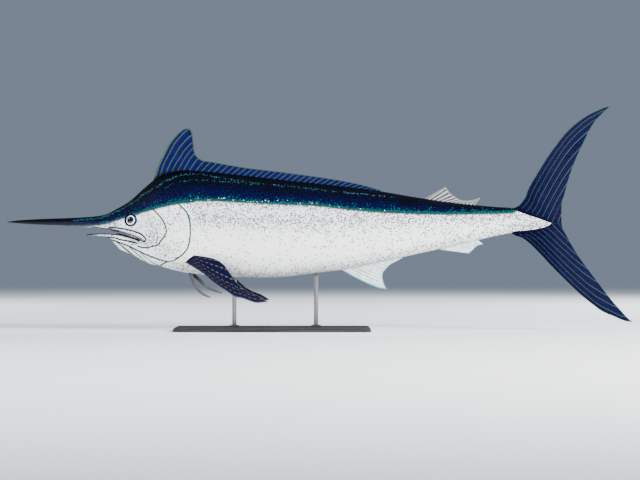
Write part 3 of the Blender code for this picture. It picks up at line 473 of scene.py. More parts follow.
@dataclass(frozen=True)
class HeadDetail:
    """Where the head's plates, folds, lips, eye and nostrils are, in the side view."""

    cheek_edge: Table = (
        (722, -133), (765, -141), (806, -134), (833, -127.6), (855, -100.7), (877, -72.6),
        (883, -44), (874.5, -11), (858, 17), (833, 45), (803, 76),
    )
    gill_edge: Table = (
        (839, -241), (862, -230), (887, -217), (922, -210), (956, -190), (978.5, -171),
        (1001, -140), (1013.5, -87), (1014, -22), (1006.5, 26), (992, 54), (970, 79),
        (950, 96), (929.5, 150),
    )
    gill_front: Table = (
        (-250, 806), (-165, 806), *swapped(cheek_edge[3:10]), (93, 793), (132, 775.5),
        (191, 759), (300, 750),
    )
    gill_rear: Table = (*swapped(gill_edge[:-1]), (176, 929.5), (284, 907), (300, 905))
    lip_top: Table = (
        (560, -32), (576, -31), (600, -32), (632, -36), (660, -41), (702, -51), (740, -66),
        (759, -81), (769, -95), (764, -107), (752, -110),
    )
    jaw_crease: Table = (
        (470, -77.5), (515, -81), (561, -85), (596, -88), (631, -98), (669, -104), (719, -116),
    )
    throat_top: Table = (
        (561, -91), (564, -93), (601, -105.6), (632, -117), (682.5, -136.4), (716, -153.5),
        (781, -184), (825, -200), (855, -210), (887, -217),
    )
    throat_slant: Table = (
        (561, 600), (600, 698), (665, 772), (730, 838), (800, 905), (887, 990),
    )
    fold_starts: tuple[float, ...] = (600.0, 665.0, 730.0)
    fold_end: float = 812.0
    lip_end: float = 769.0
    fold_rise: float = 4.0
    lip_rise: float = 5.0
    gill_rise: float = 4.0
    eye: tuple[float, float] = (685.0, 10.0)
    eye_radius: float = 33.0
    eye_bulge: float = 20.0
    eye_sunk: float = 11.0
    eye_rim: Bump = (2.2, 32.5, 3.2)
    eye_socket: Span = (22.0, 29.5)
    socket_depth: float = 15.0
    brow: Bump = (1.8, 42.0, 9.0)
    nostrils: Table = ((629.0, 6.5), (614.0, 2.5))
    nostril_stretch: float = 1.25
    nostril_rim: Bump = (0.8, 4.8, 1.6)
    nostril_pit: Span = (1.2, 3.8)
    nostril_depth: float = 5.0
    lip_shown: Span = (540.0, 590.0)
    lip_edge: Span = (-1.0, 6.0)
    lip_groove: Bump = (2.0, -2.5, 2.5)
    lip_roll: float = 3.0
    roll_shown: Span = (500.0, 600.0)
    jaw_shown: Span = (440.0, 520.0)
    jaw_lip_rise: float = 2.0
    crease_shown: Span = (470.0, 520.0)
    crease: Bump = (3.0, 0.0, 2.6)
    folds_shown: Span = (566.0, 600.0)
    fold_drop: float = 3.5
    gill_top: Span = (84.0, 150.0)
    gill_slot: Bump = (1.4, -2.8, 2.2)
    cheek_groove: Bump = (1.0, 0.0, 2.4)
    cheek_puff: Bump = (1.6, -26.0, 22.0)
    puff_bottom: Span = (-130.0, -90.0)
    puff_top: Span = (20.0, 60.0)
    keel_half_width: float = 11.0
    keel_height: Table = ((2640, 0), (2735, 3), (2827, 14), (2869, 15), (2950, 8), (2990, 0))
    keel_levels: tuple[float, float] = (0.36, 0.64)

    def throat_station(self, x: Array, z: Array) -> tuple[Array, Array]:
        """Place along the throat's top edge of the slanting line through each point.

        Args:
            x: distances behind the bill tip.
            z: heights.

        Returns:
            The place on the top edge, and the share of the way down from it to the belly.
        """
        top = curve_at(self.throat_top, x)
        level = np.clip((top - z) / np.maximum(top - FORM.belly(x), 1.0), 0, 1)
        slant = smooth_line(self.throat_slant)
        station = np.array(x, float)
        for _ in range(24):
            held = np.clip(station, FORM.throat_start, FORM.throat_end)
            station = 0.5 * station + 0.5 * (x - (slant(held) - held) * level)
        return station, np.where((z < top) & (x > FORM.throat_start), level, -1.0)

    def lip_height(self, x: Array) -> Array:
        """Height of the top of the upper lip's band, up to its rear end."""
        return curve_at(self.lip_top[:9], x)

    def in_lip(self, x: Array, z: Array) -> Array:
        """Distance inside the upper lip's band, negative outside it."""
        away = distance_to(self.lip_top, x, z)
        return np.where((z < self.lip_height(x)) & (x < self.lip_end), away, -away)

    def relief(self, x: Array, z: Array) -> Array:
        """How far the skin stands out from the plain body at each point.

        Args:
            x: distances behind the bill tip.
            z: heights.

        Returns:
            The relief in millimetres, outward positive.
        """
        upper = z >= FORM.lip(x) - 0.01
        rise = self._lip_relief(x, z) * upper
        rise += self._jaw_relief(x, z) * (z < FORM.lip(x)) * (x < FORM.jaw_end)
        for part in (self._throat_relief, self._gill_relief, self._eye_relief, self._keel_relief):
            rise += part(x, z)
        for at_x, at_z in self.nostrils:
            away = np.hypot((x - at_x) / self.nostril_stretch, z - at_z)
            pit = self.nostril_depth * fall(away, *self.nostril_pit)
            rise += bump(away, self.nostril_rim) - pit
        return rise

    def _lip_relief(self, x: Array, z: Array) -> Array:
        """The upper lip's raised band and the groove above it.

        Args:
            x: places along the fish.
            z: heights.

        Returns:
            The relief's height at each point.
        """
        inside = self.in_lip(x, z)
        band = self.lip_rise * ease(inside, *self.lip_edge) - bump(inside, self.lip_groove)
        roll = self.lip_roll * fall(z - FORM.lip(x), 0, 9) * (x < 766)
        return band * ease(x, *self.lip_shown) - roll * ease(x, *self.roll_shown) * (inside > -2)

    def _jaw_relief(self, x: Array, z: Array) -> Array:
        """The lower lip and the crease along the jaw.

        Args:
            x: places along the fish.
            z: heights.

        Returns:
            The relief's height at each point.
        """
        shown = ease(x, *self.jaw_shown) * fall(x, 720, FORM.jaw_end)
        below = FORM.jaw(x) - z
        lip = self.jaw_lip_rise * ease(below, 0, 4) * fall(below, 9, 16)
        crease = bump(distance_to(self.jaw_crease, x, z), self.crease)
        return lip * shown - crease * ease(x, *self.crease_shown)

    def _throat_relief(self, x: Array, z: Array) -> Array:
        """The throat's overlapping folds, each rising towards its rear edge.

        Args:
            x: places along the fish.
            z: heights.

        Returns:
            The relief's height at each point.
        """
        station, level = self.throat_station(x, z)
        rise = np.zeros(np.shape(x))
        starts = (FORM.throat_start, *self.fold_starts, self.fold_end)
        for start, end in zip(starts[:-1], starts[1:]):
            within = (station >= start) & (station < end)
            ramp = (station - start) / (end - start)
            drop = fall(station, end - self.fold_drop, end)
            share = 1.0 if end < self.fold_end else 1 - ramp
            rise = np.where(within, self.fold_rise * (0.25 + 0.75 * ramp) * drop * share, rise)
        fade = 1 - 0.9 * ease(level, 0.55, 1.0)
        return np.where(level >= 0, rise * fade, 0) * ease(x, *self.folds_shown)

    def _gill_relief(self, x: Array, z: Array) -> Array:
        """The cheek's step and the gill cover's free rear edge.

        Args:
            x: places along the fish.
            z: heights.

        Returns:
            The relief's height at each point.
        """
        front = curve_at(self.gill_front, z)
        rear = curve_at(self.gill_rear, z)
        above_throat = (z > curve_at(self.throat_top, x)) | (x > FORM.throat_end)
        shown = fall(z, *self.gill_top) * above_throat
        share = np.clip((x - front) / (rear - front), 0, 1)
        edge = distance_to(self.gill_edge, x, z)
        inside = np.where(x < rear, edge, -edge)
        lift = self.gill_rise * (0.1 + 0.9 * share) * ease(inside, -0.5, 3.0) * (x > front - 30)
        slot = bump(inside, self.gill_slot)
        cheek = bump(distance_to(self.cheek_edge, x, z), self.cheek_groove)
        puff = bump(x - front, self.cheek_puff) * (x < front) * ease(z, *self.puff_bottom)
        puff *= fall(z, *self.puff_top)
        return (lift - slot + puff) * shown - cheek * ease(90 - z, 0, 20)

    def _eye_relief(self, x: Array, z: Array) -> Array:
        """The socket, its raised rim and the brow above it.

        Args:
            x: places along the fish.
            z: heights.

        Returns:
            The relief's height at each point.
        """
        away = np.hypot(x - self.eye[0], z - self.eye[1])
        socket = -self.socket_depth * fall(away, *self.eye_socket)
        brow = bump(away, self.brow) * np.clip((z - self.eye[1]) / 40, 0, 1)
        return bump(away, self.eye_rim) + socket + brow

    def _keel_relief(self, x: Array, z: Array) -> Array:
        """The two fleshy keels on each side of the tail's stem.

        Args:
            x: places along the fish.
            z: heights.

        Returns:
            The relief's height at each point.
        """
        height = curve_at(self.keel_height, x)
        tall = FORM.back(x) - FORM.belly(x)
        rise = np.zeros(np.shape(x))
        for level in self.keel_levels:
            away = np.abs(FORM.back(x) - level * tall - z)
            rise += height * np.clip(1 - away / self.keel_half_width, 0, 1) ** 1.6
        start, end = self.keel_height[0][0], self.keel_height[-1][0]
        return np.where((x > start) & (x < end), rise, 0)


HEAD = HeadDetail()


@dataclass(frozen=True)
class Markings:
    """Where the colours of the fish change, as distances that the finishes read."""

    boundary: Table = (
        (0, -60), (330, -30), (360, -22), (430, -19), (500, -15), (567, -2), (635, 20),
        (694, 38), (753, 55), (803, 69), (854, 82), (930, 98), (1010, 108), (1061, 117),
        (1130, 117), (1281, 110), (1475, 99), (1677, 92), (1803, 78), (1941, 64), (2051, 55),
        (2156, 50), (2381, 44), (2711, 49), (2765, 51), (2800, 62), (2830, 95), (2995, 120),
    )
    band_width: Table = (
        (0, 3), (400, 3), (560, 5), (700, 10), (900, 16), (1100, 13), (2600, 11), (2995, 8),
    )
    high_streak: Table = (
        (364, 9), (430, 13), (480, 17), (513, 22), (553, 34), (576, 45), (626, 65), (670, 92),
        (702, 112), (724, 126), (746, 146), (770, 162), (837, 200), (888, 229),
        (946, 252), (1014, 264), (1081, 260), (1157, 245), (1282, 225), (1348, 213),
        (1550, 194), (1803, 167), (2131, 134), (2230, 120),
    )
    low_streak: Table = (
        (871, 183), (930, 214), (997, 226), (1081, 228), (1157, 223), (1282, 214), (1348, 206),
    )
    band_middle: Table = (
        (1014, 22), (1171, 15), (1500, 8), (1700, 5), (2000, 8), (2400, 18), (2900, 5),
    )
    band_strength: Table = (
        (900, 0.2), (1171, 0.72), (1700, 0.66), (2150, 0.6), (2500, 0.4), (2995, 0.35),
    )
    greys: Table = (
        (812, -98, 50, 34, 0.85), (780, -30, 75, 50, 0.5), (735, 44, 50, 14, 0.6),
        (560, -14, 80, 18, 0.8), (872, -150, 66, 46, 0.6), (930, 10, 75, 80, 0.35),
        (960, -246, 90, 34, 0.55), (700, -112, 70, 18, 0.6), (560, -72, 60, 8, 0.8),
        (2900, 30, 60, 12, 0.3), (2880, -44, 70, 10, 0.35), (1060, 70, 40, 60, 0.25),
    )
    teals: Table = (
        (800, -40, 46, 46, 0.3), (905, -155, 60, 35, 0.25), (850, 95, 150, 16, 0.5),
        (590, -14, 40, 12, 0.5),
    )
    # painted shade in the two nostril pits and along the lower edge of the bill and the snout's
    # lip, and the darker tip of the lower jaw
    shades: Table = (
        (440, -70, 48, 14, 1.3), (540, -40, 60, 7, 0.8), (425, -24, 60, 5, 0.8),
        (629, 6.5, 3.6, 3.0, 1.4), (614, 2.5, 3.6, 3.0, 1.4),
    )
    # how high the painted shade reaches up the upper lip's band, in millimetres
    lip_shade_depth: Table = (
        (470, 8), (560, 16), (600, 20), (660, 26), (702, 31), (740, 30), (766, 20),
    )
    reach: float = 12.0
    shoulder: Span = (960.0, 1060.0)  # where the trunk's own markings come in

    def values(self, x: Array, z: Array) -> dict[str, Array]:
        """The numbers that the finishes of the skin and of the scales read.

        Args:
            x: distances behind the bill tip.
            z: heights.

        Returns:
            One array for each attribute, by its name.
        """
        edge = curve_at(self.boundary, x)
        top = FORM.back(x)
        streaks = np.minimum(
            distance_to(self.high_streak, x, z, 4),
            distance_to(self.low_streak, x, z) + 1,
        )
        band = bell(z - curve_at(self.band_middle, x), 48)
        behind = ease(x, *self.shoulder)
        grey = band * curve_at(self.band_strength, x) * behind
        grey += 0.10 + 0.12 * behind * fall(edge - z, 120, 260)
        grey += 1.1 * ease(x, 960, 1100) * bell(edge - z, 28)
        grey += 0.45 * ease(x, 900, 1100) * fall(z - FORM.belly(x), 10, 70)
        grey += 0.06 * ease(x, 2250, 2700)
        grey += self.patches(self.greys, x, z)
        share = (z - edge) / curve_at(self.band_width, x)
        boost = (1.3 - 0.3 * ease(x, 740, 900)) * fall(x, 2060, 2230)
        spark = np.clip(1 - np.abs(share - 0.9) / 0.9, 0, 1)
        return {
            "over": (z - edge) * MM,
            "edge": np.clip(share, -2, 5),
            "crown": np.clip((z - edge) / np.maximum(top - edge, 4.0), 0, 1),
            "streak": np.clip(1 - streaks / self.reach, 0, 1) * boost,
            "spark": spark * behind * fall(x, 1500, 2300),
            "grey": np.clip(grey, 0, 0.9),
            "teal": self.patches(self.teals, x, z),
            "shade": self.shade(x, z),
        }

    def shade(self, x: Array, z: Array) -> Array:
        """Painted shade on the lips, jaw edge, throat folds and nostrils, and the jaw's dark tip, 0
        to 1.

        Args:
            x: places along the fish.
            z: heights.

        Returns:
            The tone at each point.
        """
        # painted shade on the upper lip's band, darkest at its lower edge
        above = z - FORM.lip(x)
        deep = curve_at(self.lip_shade_depth, x)
        lip = fall(above / deep, 0.15, 0.85) * ease(x, 470, 560) * fall(x, 748, 768)
        total = np.where(above >= -0.5, lip, 0)
        # painted shade just under the lower jaw's upper edge, below the upper lip
        below = FORM.jaw(x) - z
        jaw = 0.5 * fall(below, 4, 18) * ease(x, 590, 640)
        jaw *= fall(x, FORM.face_blend_end, FORM.jaw_end)
        total += np.where((above < -0.5) & (below >= -0.5), jaw, 0)
        # painted shade in the recess just behind each throat fold's edge
        station, level = HEAD.throat_station(x, z)
        starts = (FORM.throat_start, *HEAD.fold_starts)
        for start, end in zip(starts[:-1], starts[1:]):
            ramp = (station - start) / (end - start)
            fold_shade = 0.62 * fall(ramp, 0.05, 0.6) * (ramp >= 0) * (ramp < 1)
            total += np.where(level >= 0, fold_shade, 0)
        return np.clip(total + self.patches(self.shades, x, z), 0, 1)

    def patches(self, spots: Table, x: Array, z: Array) -> Array:
        """The sum of soft patches, each given by its centre, its half-sizes and its strength.

        Args:
            spots: the table of the patches.
            x: places along the fish.
            z: heights.

        Returns:
            The sum at each point.
        """
        total = np.zeros(np.shape(x))
        for at_x, at_z, wide, high, strength in spots:
            total += strength * np.exp(-(((x - at_x) / wide) ** 2) - ((z - at_z) / high) ** 2)
        return total

    def lines(self, x: Array, z: Array) -> dict[str, Array]:
        """Distances in millimetres from the drawn lines of the head and of the tail's stem.

        Args:
            x: distances behind the bill tip.
            z: heights.

        Returns:
            One array for each line, with opposite signs on its two sides, so that the line
            stays sharp between two points of the skin.
        """
        station = HEAD.throat_station(x, z)[0]
        shut = 60 * (1 - ease(x, 440, 470) * fall(x, 612, 632))
        parted = ease(x, 424, 440) * fall(x, FORM.face_blend_end, FORM.jaw_end)
        open_jaw = 60 * (1 - parted)
        edges = np.minimum(np.abs(z - FORM.lip(x)) + shut, np.abs(z - FORM.jaw(x)) + open_jaw)
        rim = np.minimum(FORM.back(x) - z, z - FORM.belly(x)) + 60 * fall(x, 2740, 2790)
        paths = {
            "cheek": HEAD.cheek_edge, "gill": HEAD.gill_edge[:-1], "throat": HEAD.throat_top,
            "lip": HEAD.lip_top, "crease": HEAD.jaw_crease,
        }
        away = {name: signed_distance(path, x, z, steep=12) for name, path in paths.items()}
        folded = np.where(x > FORM.throat_start, curve_at(HEAD.throat_top, x) - z, -20)
        eye = np.hypot(x - HEAD.eye[0], z - HEAD.eye[1])
        away |= {"edges": 0.7 * edges, "stem": rim, "eye": eye, "folded": folded}
        for number, start in enumerate(HEAD.fold_starts):
            away[f"fold_{number}"] = 0.55 * (station - start + 1.5)
        return away


MARKINGS = Markings()


class Wiring:
    """Short calls that lay out the nodes of one material or one node tree."""

    def __init__(self, tree: bpy.types.NodeTree) -> None:
        """Takes the tree that the calls add to."""
        self.tree = tree

    def node(self, kind: str, **settings: object) -> bpy.types.Node:
        """Adds a node and gives it its settings.

        Args:
            kind: the type of the node.
            **settings: its properties by name.

        Returns:
            The node.
        """
        made = self.tree.nodes.new(kind)
        for name, value in settings.items():
            setattr(made, name, value)
        return made

    def feed(self, socket: Socket, value: object) -> None:
        """Links an output to an input, or sets the input to a plain value.

        Args:
            socket: the input.
            value: an output or a plain value.
        """
        if isinstance(value, Socket):
            self.tree.links.new(value, socket)
        elif isinstance(value, tuple) and len(value) == 3 and socket.type == "RGBA":
            socket.default_value = (*value, 1.0)
        else:
            socket.default_value = value

    def fed(
        self, kind: str, values: dict[int | str, object], out: int | str = 0, **settings: object
    ) -> Socket:
        """Adds a node and feeds its inputs.

        Args:
            kind: the type of the node.
            values: what each input is fed, by its number or name.
            out: the number or name of the output wanted.
            **settings: the node's own settings.

        Returns:
            The output.
        """
        made = self.node(kind, **settings)
        for key, value in values.items():
            self.feed(made.inputs[key], value)
        return made.outputs[out]

    def plug(self, shader: bpy.types.Node, **sockets: object) -> None:
        """Feeds a shader's sockets, named with underscores for spaces."""
        for key, value in sockets.items():
            self.feed(shader.inputs[key.replace("_", " ")], value)

    def math(self, operation: str, *values: object) -> Socket:
        """One Math node on the values given."""
        return self.fed("ShaderNodeMath", dict(enumerate(values)), operation=operation)

    def times(self, value: object, factor: object) -> Socket:
        """The product of two values."""
        return self.math("MULTIPLY", value, factor)

    def scaled(self, value: object, factor: object, offset: object) -> Socket:
        """A value times a factor, plus an offset."""
        return self.math("MULTIPLY_ADD", value, factor, offset)

    def under(self, value: object, limit: object) -> Socket:
        """1 where the value is below the limit, or else 0."""
        return self.math("LESS_THAN", value, limit)

    def centred(self, noise: object) -> Socket:
        """Noise between 0 and 1, moved so that its middle is 0."""
        return self.math("SUBTRACT", noise, 0.5)

    def least(self, first: Socket, *others: Socket) -> Socket:
        """The smallest of several values.

        Args:
            first: a value.
            *others: the values to compare with it.

        Returns:
            The smallest.
        """
        for other in others:
            first = self.math("MINIMUM", first, other)
        return first

    def step(self, value: object, low: float, high: float) -> Socket:
        """A smooth rise from 0 at low to 1 at high, or a fall where low is the greater.

        Args:
            value: what the step reads.
            low: where it gives 0.
            high: where it gives 1.

        Returns:
            The smoothed share.
        """
        ends = (low, high, 0.0, 1.0) if low < high else (high, low, 1.0, 0.0)
        values = dict(enumerate((value, *ends)))
        return self.fed("ShaderNodeMapRange", values, interpolation_type="SMOOTHSTEP")

    def mix(self, share: object, low: object, high: object) -> Socket:
        """A colour between two colours."""
        return self.fed("ShaderNodeMix", {0: share, 6: low, 7: high}, 2, data_type="RGBA")

    def paint(self, base: object, over: object, value: object, low: float, high: float) -> Socket:
        """One colour laid over another where a value rises from low to high, or falls to it."""
        return self.mix(self.step(value, low, high), base, over)

    def attribute(self, name: str) -> Socket:
        """The number that a piece keeps under this name."""
        return self.node("ShaderNodeAttribute", attribute_name=name).outputs["Fac"]

    def place(self, *stretch: float) -> Socket:
        """Object coordinates, stretched along each axis, or alike along all three.

        Args:
            *stretch: one number, or one for each axis.

        Returns:
            The stretched place.
        """
        here = self.node("ShaderNodeTexCoord").outputs["Object"]
        scale = stretch if len(stretch) == 3 else stretch * 3
        return self.fed("ShaderNodeMapping", {0: here, "Scale": scale})

    def noise(self, *stretch: float, detail: float = 3.0) -> Socket:
        """Soft noise between 0 and 1 at a given number of waves to the metre."""
        values = {"Vector": self.place(*stretch), "Scale": 1.0, "Detail": detail}
        return self.fed("ShaderNodeTexNoise", values)

    def cells(self, *stretch: float) -> tuple[Socket, ...]:
        """Scattered dots: the distance from the nearest one, and three random numbers for it.

        Args:
            *stretch: how many dots there are in a metre, as for place.

        Returns:
            The distance and the three numbers.
        """
        made = self.node("ShaderNodeTexVoronoi")
        self.plug(made, Vector=self.place(*stretch), Scale=1.0)
        parts = self.node("ShaderNodeSeparateColor")
        self.feed(parts.inputs[0], made.outputs["Color"])
        return made.outputs["Distance"], *parts.outputs[:3]

    def bump(self, height: object, strength: float, distance: float) -> Socket:
        """A bump normal from a height."""
        values = {"Strength": strength, "Distance": distance, "Height": height}
        return self.fed("ShaderNodeBump", values)


def new_finish(name: str, **sockets: object) -> tuple[Material, Wiring, bpy.types.Node]:
    """A material with some sockets of its shader set to plain values.

    Args:
        name: the name of the finish.
        **sockets: values by the shader's socket names, with underscores for spaces.

    Returns:
        The material, the wiring of its nodes, and its shader.
    """
    material = bpy.data.materials.new(name)
    material.use_nodes = True
    wiring = Wiring(material.node_tree)
    shader = material.node_tree.nodes["Principled BSDF"]
    wiring.plug(shader, **sockets)
    return material, wiring, shader


@dataclass(frozen=True)
class HideFinish:
    """The painted hide, which the skin and the scales share."""

    black: Colour = (0.0006, 0.0007, 0.0018)
    navy: Colour = (0.0006, 0.0012, 0.026)
    teal: Colour = (0.0, 0.036, 0.036)
    pale_teal: Colour = (0.002, 0.066, 0.064)
    lilac: Colour = (0.045, 0.048, 0.17)
    silver: Colour = (0.74, 0.755, 0.775)
    white: Colour = (0.82, 0.825, 0.82)
    grey: Colour = (0.060, 0.062, 0.068)
    shadow: Colour = (0.030, 0.026, 0.028)
    line_teal: Colour = (0.001, 0.034, 0.035)
    line_navy: Colour = (0.0008, 0.004, 0.020)
    # painted shade: the near-black colour of the roof and floor inside the mouth
    mouth: Colour = (0.001, 0.0015, 0.012)
    teal_fade: tuple[float, float] = (4.8, 3.6)  # where a line starts and is full, in millimetres
    navy_fade: tuple[float, float] = (5.0, 3.8)
    stem_fade: tuple[float, float] = (9.5, 7.5)
    eye_fade: tuple[float, float] = (36.4, 35.4)
    gape_fade: tuple[float, float] = (0.02, 0.25)
    dot_pitch: float = 0.0092

    def build(self, name: str, drawn_lines: bool) -> Material:
        """Makes the finish.

        Args:
            name: the name of the material.
            drawn_lines: whether the piece keeps the numbers for the lines of the head.

        Returns:
            The material.
        """
        material, wiring, shader = new_finish(
            name, Coat_Weight=0.06, Coat_Roughness=0.25, Specular_IOR_Level=0.18
        )
        dots = 1 / self.dot_pitch
        near, first, second, third = wiring.cells(dots)
        over = wiring.attribute("over")
        light = self._light_side(wiring, near, first, second, over)
        dark = self._dark_side(wiring, near, first, third)
        upper = wiring.step(over, -0.0012, 0.0012)
        colour = wiring.mix(upper, light, dark)
        if drawn_lines:
            colour = self._lines(wiring, colour)
        cloud = wiring.noise(5.0, 9.0, 9.0, detail=4.0)
        tint = wiring.attribute("tint")
        shade = wiring.scaled(wiring.centred(cloud), 0.16, 1.0)
        shade = wiring.scaled(tint, 0.10, shade)
        grey = wiring.fed("ShaderNodeCombineColor", {0: shade, 1: shade, 2: shade})
        values = {0: 1.0, 6: colour, 7: grey}
        tone = wiring.fed("ShaderNodeMix", values, 2, data_type="RGBA", blend_type="MULTIPLY")
        rough = wiring.scaled(wiring.noise(40.0, 60.0, 60.0), 0.14, 0.34)
        metal, normal = wiring.scaled(upper, -0.10, 0.10), self._grain(wiring)
        wiring.plug(shader, Base_Color=tone, Roughness=rough, Metallic=metal, Normal=normal)
        return material

    def _light_side(
        self, wiring: Wiring, near: object, first: object, second: object, over: object
    ) -> Socket:
        """Silver flank and white belly with grey and teal specks, painted shade, and a painted
        shadow under the dark.

        Args:
            wiring: the nodes of the finish.
            near: the distance from the nearest dot.
            first: a random number of the dot.
            second: another of its numbers.
            over: the height above the seam of the colours, in metres.

        Returns:
            The colour.
        """
        down = wiring.step(over, -0.02, -0.26)
        base = wiring.mix(down, self.silver, self.white)
        frayed = wiring.math("SUBTRACT", wiring.noise(420.0, detail=2.0), 0.5)
        near = wiring.scaled(frayed, 0.35, near)
        dot = wiring.step(near, 0.54, 0.44)
        grey = wiring.attribute("grey")
        shown = wiring.under(first, grey)
        base = wiring.mix(wiring.times(grey, 0.20), base, self.grey)
        speck = wiring.times(wiring.times(dot, shown), 0.88)
        deep = wiring.paint(self.grey, self.shadow, grey, 0.6, 0.9)
        base = wiring.mix(speck, base, deep)
        teal = wiring.under(second, wiring.attribute("teal"))
        teal_dot = wiring.times(dot, teal)
        base = wiring.mix(wiring.times(teal_dot, 0.8), base, self.pale_teal)
        # painted shade: the lips, under the jaw's edge, behind the throat's folds and in the
        # nostrils, darkened towards the shadow colour
        tone = wiring.scaled(wiring.math("SUBTRACT", near, 0.4), -0.35, wiring.attribute("shade"))
        base = wiring.mix(wiring.times(wiring.step(tone, 0.0, 1.0), 0.94), base, self.shadow)
        ragged = wiring.scaled(wiring.noise(160.0), 0.012, over)
        return wiring.paint(base, self.shadow, ragged, -0.007, 0.005)

    def _dark_side(
        self, wiring: Wiring, near: object, first: object, third: object
    ) -> Socket:
        """Mottled navy deepening to black at the crown, with the teal edge and dotted streaks.

        Args:
            wiring: the nodes of the finish.
            near: the distance from the nearest dot.
            first: a random number of the dot.
            third: another of its numbers.

        Returns:
            The colour.
        """
        mottle = wiring.noise(120.0, 150.0, 150.0, detail=2.0)
        deep = wiring.scaled(wiring.attribute("crown"), 0.35, mottle)
        base = wiring.paint(self.navy, self.black, deep, 0.56, 0.68)
        ragged = wiring.scaled(wiring.centred(mottle), 3.2, wiring.attribute("edge"))
        base = wiring.paint(base, self.teal, ragged, 1.25, 0.75)
        streak = wiring.attribute("streak")
        dot = wiring.step(near, 0.50, 0.34)
        lit = wiring.under(third, wiring.times(streak, 0.85))
        line = wiring.times(wiring.step(streak, 0.35, 0.80), wiring.times(dot, lit))
        tinted = wiring.mix(wiring.under(first, 0.25), self.pale_teal, self.lilac)
        base = wiring.mix(line, base, tinted)
        base = wiring.paint(base, self.teal, streak, 1.03, 1.2)
        strewn = wiring.times(wiring.step(wiring.attribute("edge"), 4.0, 0.8), 0.6)
        strewn = wiring.under(first, strewn)
        strewn = wiring.times(strewn, wiring.step(near, 0.40, 0.30))
        base = wiring.mix(strewn, base, self.pale_teal)
        glint = wiring.under(third, wiring.times(wiring.attribute("spark"), 0.42))
        glint = wiring.times(glint, wiring.step(near, 0.30, 0.22))
        return wiring.mix(glint, base, self.silver)

    def _lines(self, wiring: Wiring, colour: Socket) -> Socket:
        """The lines of the head and the stem, the eye's ring and the inside of the mouth, painted
        near black as shade.

        Args:
            wiring: the nodes of the finish.
            colour: what the lines are drawn on.

        Returns:
            The colour with the lines on it.
        """
        outside = wiring.step(wiring.attribute("folded"), 0.0, -2.0)
        fold = wiring.scaled(outside, 20.0, self._near(wiring, "fold_0", "fold_1", "fold_2"))
        teal = wiring.least(self._near(wiring, "cheek", "gill", "throat"), fold)
        navy = self._near(wiring, "lip", "crease", "edges")
        stem, eye, gape = (wiring.attribute(name) for name in ("stem", "eye", "gape"))
        for ink, away, fade in (
            (self.line_teal, teal, self.teal_fade), (self.line_navy, navy, self.navy_fade),
            (self.black, stem, self.stem_fade), (self.black, eye, self.eye_fade),
            # the inside of the mouth in near black is painted shade
            (self.mouth, gape, self.gape_fade),
        ):
            colour = wiring.paint(colour, ink, away, *fade)
        return colour

    @staticmethod
    def _near(wiring: Wiring, *names: str) -> Socket:
        """How far a point is from the nearest of the lines of these names."""
        return wiring.least(*(wiring.math("ABSOLUTE", wiring.attribute(name)) for name in names))

    def _grain(self, wiring: Wiring) -> Socket:
        """The fine lengthwise grain of the smallest scales.

        Args:
            wiring: the nodes of the finish.

        Returns:
            The bumped normal.
        """
        near = wiring.cells(110.0, 330.0, 330.0)[0]
        fine = wiring.noise(300.0, 900.0, 900.0, detail=2.0)
        return wiring.bump(wiring.scaled(fine, 0.4, near), 0.16, 0.0006)


